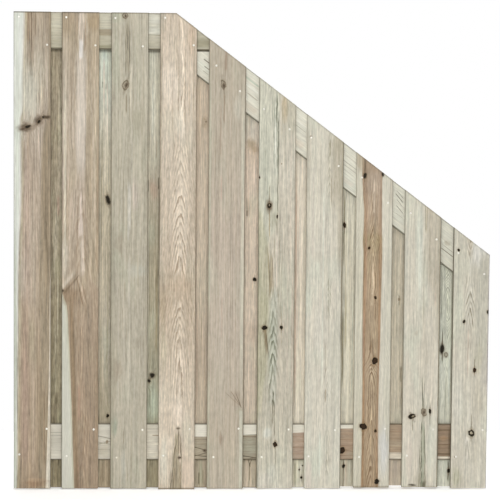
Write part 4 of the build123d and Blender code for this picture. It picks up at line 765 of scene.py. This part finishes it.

# rails: the same timber with the grain along the rail; U is up, V runs from the high side
# THROUGH: a stroke the whole length of a rail; the rails use it for painted shade lines along their edges
THROUGH = dict(FadeA=0.01, FadeB=0.01, Wob=0.5)
BOARDS["top_rail"] = dict(
    axes=((0, 0, 1), (1, 0, 0), -1731.0, 900.0), y=0.0, seed=61.0, gain=0.97,
    ground=[(0, (203, 197, 177)), (160, (204, 198, 178)), (341, (198, 194, 175)), (450, (206, 203, 188)), (524, (211, 209, 195)), (640, (190, 186, 168)), (800, (172, 168, 148))],
    alt=((196, 189, 166), 0.35), green=((196, 202, 184), 0.25), late=((160, 148, 120), 0.16), mid=0.16, fine=0.16, line=0.3, speck=0.3, dash=0.05, fleck=0.03,
    ring=dict(Pu=10, D0=40, Ds=6, Space=6, Wave=5, Wob=2, Rough=0.7, Deep=3),
    bands=[dict(side="L", soft=8.0, wob=6.0, amount=0.85, tones=((190, 184, 164), (183, 177, 155)), line=[(0, -20), (160, -10), (340, -14), (430, -16), (524, -11), (640, -6), (700, 0), (1800, 10)])],
    strokes=[(9, 196, 120, 1.6, (146, 136, 110), 0.75, {}), (-5, 390, 290, 16, (158, 146, 123), 0.85, dict(Soft=0.5)), (-58, 400, 280, 9, (150, 146, 118), 0.6, {}), (-13, 580, 470, 1.7, (136, 128, 104), 0.8, {}),
             # the last stroke here is painted shade along the rail's lower edge
             (-40, 800, 655, 28, (152, 147, 124), 0.75, dict(Soft=0.9)), (30, 760, 660, 2, (150, 142, 116), 0.6, {}), (30, 400, 280, 1.4, (172, 164, 142), 0.5, {}), (-66, 800, -10, 4.5, (80, 74, 57), 0.8, THROUGH)],
    # edge: painted shade along both long edges
    edge=(0.3, 0.3),
)
BOARDS["slope_rail"] = dict(
    axes=((SA, 0, CA), (CA, 0, -SA), 294.0 * SA - 1800.0 * CA + 69.0, 294.0 * CA + 1800.0 * SA), y=0.0, seed=67.0, gain=1.03, rim=0.3,
    ground=[(0, (216, 213, 198)), (900, (212, 210, 195)), (1500, (206, 204, 188))],
    alt=((206, 199, 181), 0.35), green=((202, 208, 194), 0.3), late=((160, 154, 130), 0.14), mid=0.14, fine=0.14, line=0.3, speck=0.3, dash=0.05, fleck=0.03,
    ring=dict(Pu=-6, D0=20, Ds=6, Space=7, Wave=5, Wob=2.4, Rough=1.2, Deep=5),
    strokes=[(-4, 214, 182, 3.2, (96, 88, 70), 0.85, {}), (-24, 230, 200, 3.2, (110, 102, 82), 0.75, {}), (-40, 236, 206, 2.4, (150, 140, 118), 0.6, {}),
             (39, 420, 340, 5, (176, 188, 168), 0.7, {}), (19, 436, 360, 6, (225, 223, 210), 0.8, {}), (-5, 446, 386, 2.5, (160, 146, 124), 0.75, {}), (-42, 470, 390, 18, (200, 190, 172), 0.7, {}),
             (27, 664, 586, 6, (225, 222, 209), 0.75, {}), (11, 664, 600, 1.5, (146, 138, 116), 0.65, {}), (-38, 690, 610, 20, (202, 192, 175), 0.75, {}),
             (36, 896, 826, 1.4, (160, 150, 127), 0.5, {}), (16, 904, 826, 1.6, (124, 114, 92), 0.6, {}), (4, 908, 836, 1.5, (140, 130, 106), 0.5, {}), (-10, 908, 846, 1.4, (150, 140, 116), 0.45, {}), (-40, 930, 850, 14, (208, 198, 182), 0.5, {}),
             (38, 1108, 1062, 1.9, (96, 92, 72), 0.75, dict(Slant=230, broken=0.3)), (24, 1116, 1064, 2.3, (84, 78, 58), 0.9, dict(Slant=260)), (11, 1122, 1082, 1.8, (94, 88, 68), 0.75, dict(Slant=300, broken=0.3)), (-8, 1144, 1094, 2.0, (98, 92, 72), 0.8, dict(Slant=220)), (-22, 1150, 1110, 1.5, (120, 112, 92), 0.5, {}),
             # the last stroke here is painted shade along the rail's lower edge
             (-22, 1400, 1324, 1.9, (90, 82, 62), 0.9, {}), (-8, 1390, 1330, 1.5, (122, 112, 90), 0.65, {}), (-50, 1410, 1330, 2, (196, 202, 188), 0.5, {}), (-66, 1500, -10, 3.6, (88, 82, 64), 0.75, THROUGH)],
    patches=[(5, 1340, 9, 13, (150, 136, 110), 0.5)],
)
BOARDS["bottom_rail"] = dict(
    axes=((0, 0, 1), (1, 0, 0), -180.0, 900.0), y=0.0, seed=73.0, gain=1.1,
    ground=[(0, (197, 192, 177)), (341, (201, 194, 176)), (540, (205, 199, 182)), (640, (178, 168, 148)), (720, (160, 150, 130)), (893, (157, 151, 132)), (1000, (162, 147, 129)), (1079, (170, 151, 133)), (1264, (160, 140, 119)), (1451, (162, 143, 121)), (1637, (140, 121, 100)), (1800, (143, 126, 104))],
    alt=((172, 155, 135), 0.2), green=((178, 178, 158), 0.2), late=((116, 96, 75), 0.22), mid=0.18, fine=0.2, line=0.35, speck=0.45, dash=0.06, fleck=0.04,
    ring=dict(Pu=-8, D0=14, Ds=4, Space=6.5, Wave=6, Wob=3, Rough=1.4, Deep=6),
    bands=[
        dict(side="L", soft=6.0, wob=6.0, amount=0.9, calm=0.5, tones=((206, 201, 187), (200, 195, 180)), line=[(0, 90), (300, 80), (390, 60), (470, -90), (560, -110), (1800, -120)]),
        dict(side="R", soft=2.0, wob=3.0, calm=0.5, tones=((219, 214, 199), (214, 209, 194)),
             line=[(0, 100), (460, 90), (500, 78), (560, 70), (610, 58), (650, 24), (707, 20), (893, 28), (1000, 33), (1079, 36), (1160, 42), (1225, 51), (1300, 54), (1345, 90), (1800, 100)]),
        dict(side="L", soft=1.5, wob=2.0, tones=((208, 200, 182), (202, 192, 174)),
             line=[(0, -110), (1320, -96), (1412, -39), (1475, -40), (1560, -52), (1620, -56), (1662, -57), (1760, -74), (1800, -84)]),
    ],
    patches=[(-36, 341, 30, 26, (182, 174, 154), 0.6), (-20, 893, 34, 32, (160, 158, 140), 0.6), (-48, 1278, 16, 22, (160, 148, 128), 0.6), (15, 1637, 10, 18, (168, 138, 106), 0.6), (-6, 1660, 62, 6, (90, 76, 58), 0.6), (-30, 524, 30, 30, (211, 205, 189), 0.7), (10, 159, 30, 34, (181, 176, 161), 0.5), (-50, 159, 14, 34, (206, 201, 186), 0.5), (30, 1451, 36, 36, (152, 134, 112), 0.45)],
    strokes=[(35, 192, 126, 1.6, (138, 134, 118), 0.8, {}), (25, 192, 126, 1.6, (144, 140, 124), 0.75, {}), (10, 192, 126, 1.3, (164, 160, 144), 0.6, {}), (-5, 192, 126, 1.3, (166, 162, 146), 0.6, {}), (-20, 192, 126, 1.3, (168, 164, 148), 0.6, {}),
             (10, 378, 304, 2, (116, 106, 84), 0.75, dict(Slant=200)), (6, 378, 304, 1.8, (122, 112, 90), 0.75, dict(Slant=-250)), (-12, 378, 304, 1.8, (126, 116, 94), 0.7, dict(Slant=180)), (-30, 378, 304, 2, (148, 138, 114), 0.6, {}),
             (25, 556, 520, 2.6, (132, 112, 86), 0.8, {}), (50, 580, 470, 1.4, (186, 178, 158), 0.6, {}),
             (-36, 745, 670, 2.6, (82, 74, 56), 0.85, dict(Slant=260)), (-38, 745, 670, 2.4, (88, 80, 60), 0.8, dict(Slant=-260)), (-58, 745, 670, 2.4, (90, 82, 62), 0.8, dict(Slant=120)), (-8, 745, 670, 2.2, (114, 100, 76), 0.65, {}), (8, 745, 670, 2, (124, 106, 82), 0.6, {}),
             (20, 934, 852, 2.4, (122, 102, 74), 0.8, {}), (-10, 934, 852, 1.5, (136, 130, 110), 0.6, {}), (-64, 934, 852, 2.6, (76, 68, 50), 0.85, dict(Slant=160)), (-58, 934, 852, 2.2, (88, 80, 60), 0.75, dict(Slant=-160)),
             (20, 1115, 1042, 1.5, (138, 110, 86), 0.7, {}), (0, 1115, 1042, 1.5, (140, 112, 88), 0.6, {}), (-22, 1115, 1042, 1.8, (134, 106, 82), 0.7, {}), (-45, 1115, 1042, 1.5, (142, 116, 92), 0.6, {}),
             (30, 1302, 1226, 1.5, (130, 102, 78), 0.6, {}), (10, 1302, 1226, 1.6, (132, 102, 76), 0.65, {}), (-15, 1302, 1226, 1.6, (126, 96, 70), 0.65, {}), (-52, 1302, 1226, 1.8, (118, 92, 68), 0.6, {}),
             (40, 1488, 1414, 1.5, (146, 118, 92), 0.6, {}), (12, 1488, 1414, 1.6, (144, 116, 88), 0.6, {}), (-18, 1488, 1414, 2, (184, 162, 134), 0.6, {}), (-42, 1488, 1414, 1.8, (138, 114, 88), 0.6, {}),
             (46, 1675, 1600, 2.6, (106, 84, 62), 0.7, {}), (-10, 1675, 1600, 2, (108, 84, 60), 0.7, {}), (-46, 1675, 1600, 2.8, (82, 68, 50), 0.8, {}),
             # these two strokes are painted shade along the rail's upper and lower edges
             (67, 1810, -10, 2.6, (104, 96, 78), 0.5, THROUGH), (-67, 1810, -10, 3.6, (86, 78, 60), 0.7, THROUGH)],
    knots=[(0, 352, 6, 0.8, 0, "faint"), (-32, 1246, 12, 0.9, 0, "dark"), (-34, 722, 6, 0.8, 0, "smear")],
)

for name, b in BOARDS.items():
    node = NODES[name]
    material = wood("pine_" + name, b)
    node.data.materials.clear()
    node.data.materials.append(material)


# ---------------------------------------------------------------------------
# stainless screws
# ---------------------------------------------------------------------------
def steel():
    mat = bpy.data.materials.new("stainless_screw")
    mat.use_nodes = True
    nt = mat.node_tree
    nt.nodes.clear()
    t = Tree(nt)
    out = nt.nodes.new("ShaderNodeOutputMaterial")
    bsdf = nt.nodes.new("ShaderNodeBsdfPrincipled")
    nt.links.new(bsdf.outputs[0], out.inputs["Surface"])
    pos = nt.nodes.new("ShaderNodeTexCoord").outputs["Object"]
    sep = nt.nodes.new("ShaderNodeSeparateXYZ")
    nt.links.new(pos, sep.inputs[0])
    a = t.noise(t.comb(t.mul(sep.outputs[0], 900.0), t.mul(sep.outputs[1], 900.0), t.mul(sep.outputs[2], 900.0)), 3.0)
    c = t.noise(t.comb(t.mul(sep.outputs[0], 60.0), t.mul(sep.outputs[1], 60.0), t.mul(sep.outputs[2], 60.0)), 2.0)
    col = t.mix(a, lin((222, 218, 208)), lin((248, 246, 238)))
    nt.links.new(t.mix(t.smooth(0.55, 0.75, c), col, lin((206, 198, 180))), bsdf.inputs["Base Color"])
    bsdf.inputs["Metallic"].default_value = 1.0
    t.put(bsdf.inputs["Roughness"], t.mad(a, 0.2, 0.26))
    return mat


STEEL = steel()
for name, node in NODES.items():
    if "screws" in name:
        node.data.materials.clear()
        node.data.materials.append(STEEL)


# ---------------------------------------------------------------------------
# floor, light, camera
# ---------------------------------------------------------------------------
def floor():
    me = bpy.data.meshes.new("floor")
    me.from_pydata([(-5, -6, 0), (5, -6, 0), (5, 1.3, 0), (-5, 1.3, 0)], [], [(0, 1, 2, 3)])
    o = bpy.data.objects.new("floor", me)
    bpy.context.scene.collection.objects.link(o)
    mat = bpy.data.materials.new("floor_pale")
    mat.use_nodes = True
    p = mat.node_tree.nodes["Principled BSDF"]
    p.inputs["Base Color"].default_value = (0.93, 0.93, 0.925, 1)
    p.inputs["Roughness"].default_value = 0.9
    p.inputs["Specular IOR Level"].default_value = 0.1
    p.inputs["Emission Color"].default_value = (1, 1, 1, 1)
    p.inputs["Emission Strength"].default_value = 0.3
    me.materials.append(mat)


floor()

scene = bpy.context.scene
scene.view_settings.view_transform = "Standard"
scene.view_settings.look = "None"

world = bpy.data.worlds.new("studio")
scene.world = world
world.use_nodes = True
wt = world.node_tree
wt.nodes.clear()
wo = wt.nodes.new("ShaderNodeOutputWorld")
bg = wt.nodes.new("ShaderNodeBackground")
seen = wt.nodes.new("ShaderNodeBackground")
mx = wt.nodes.new("ShaderNodeMixShader")
lp = wt.nodes.new("ShaderNodeLightPath")
bg.inputs["Color"].default_value = (1.0, 1.0, 1.0, 1)
bg.inputs["Strength"].default_value = 0.19
seen.inputs["Color"].default_value = (1, 1, 1, 1)
seen.inputs["Strength"].default_value = 1.0
wt.links.new(lp.outputs["Is Camera Ray"], mx.inputs[0])
wt.links.new(bg.outputs[0], mx.inputs[1])
wt.links.new(seen.outputs[0], mx.inputs[2])
wt.links.new(mx.outputs[0], wo.inputs["Surface"])


def area(name, loc, aim, size, power, tint=(1, 1, 1)):
    d = bpy.data.lights.new(name, "AREA")
    d.shape = "RECTANGLE"
    d.size, d.size_y = size
    d.energy = power
    d.color = tint
    o = bpy.data.objects.new(name, d)
    scene.collection.objects.link(o)
    o.location = loc
    v = [aim[k] - loc[k] for k in range(3)]
    n = math.sqrt(sum(x * x for x in v))
    o.rotation_euler = (math.acos(-v[2] / n), 0.0, math.atan2(v[1], v[0]) - math.pi / 2)
    return o


for side, where in ((-1, "front"), (1, "back")):
    area("key_left_" + where, (-1.35, 6.0 * side, 2.9), (0, 0, 0.9), (0.9, 0.9), 74.0 if side < 0 else 64.0)
    area("key_right_" + where, (1.0, 6.0 * side, 2.9), (0, 0, 0.9), (0.9, 0.9), 64.0 if side < 0 else 56.0)
area("over", (0.0, -0.4, 4.2), (0, -0.4, 0.0), (5.0, 4.0), 150.0)

cam = bpy.data.cameras.new("camera")
cam.lens = 135.0
cam.sensor_width = 36.0
cam.sensor_fit = "HORIZONTAL"
cam.clip_end = 200.0
co = bpy.data.objects.new("camera", cam)
scene.collection.objects.link(co)
co.location = (-0.3305, -7.0771, 1.4055)
co.rotation_euler = (math.radians(86.0183), math.radians(-0.4765), math.radians(-2.5532))
scene.camera = co
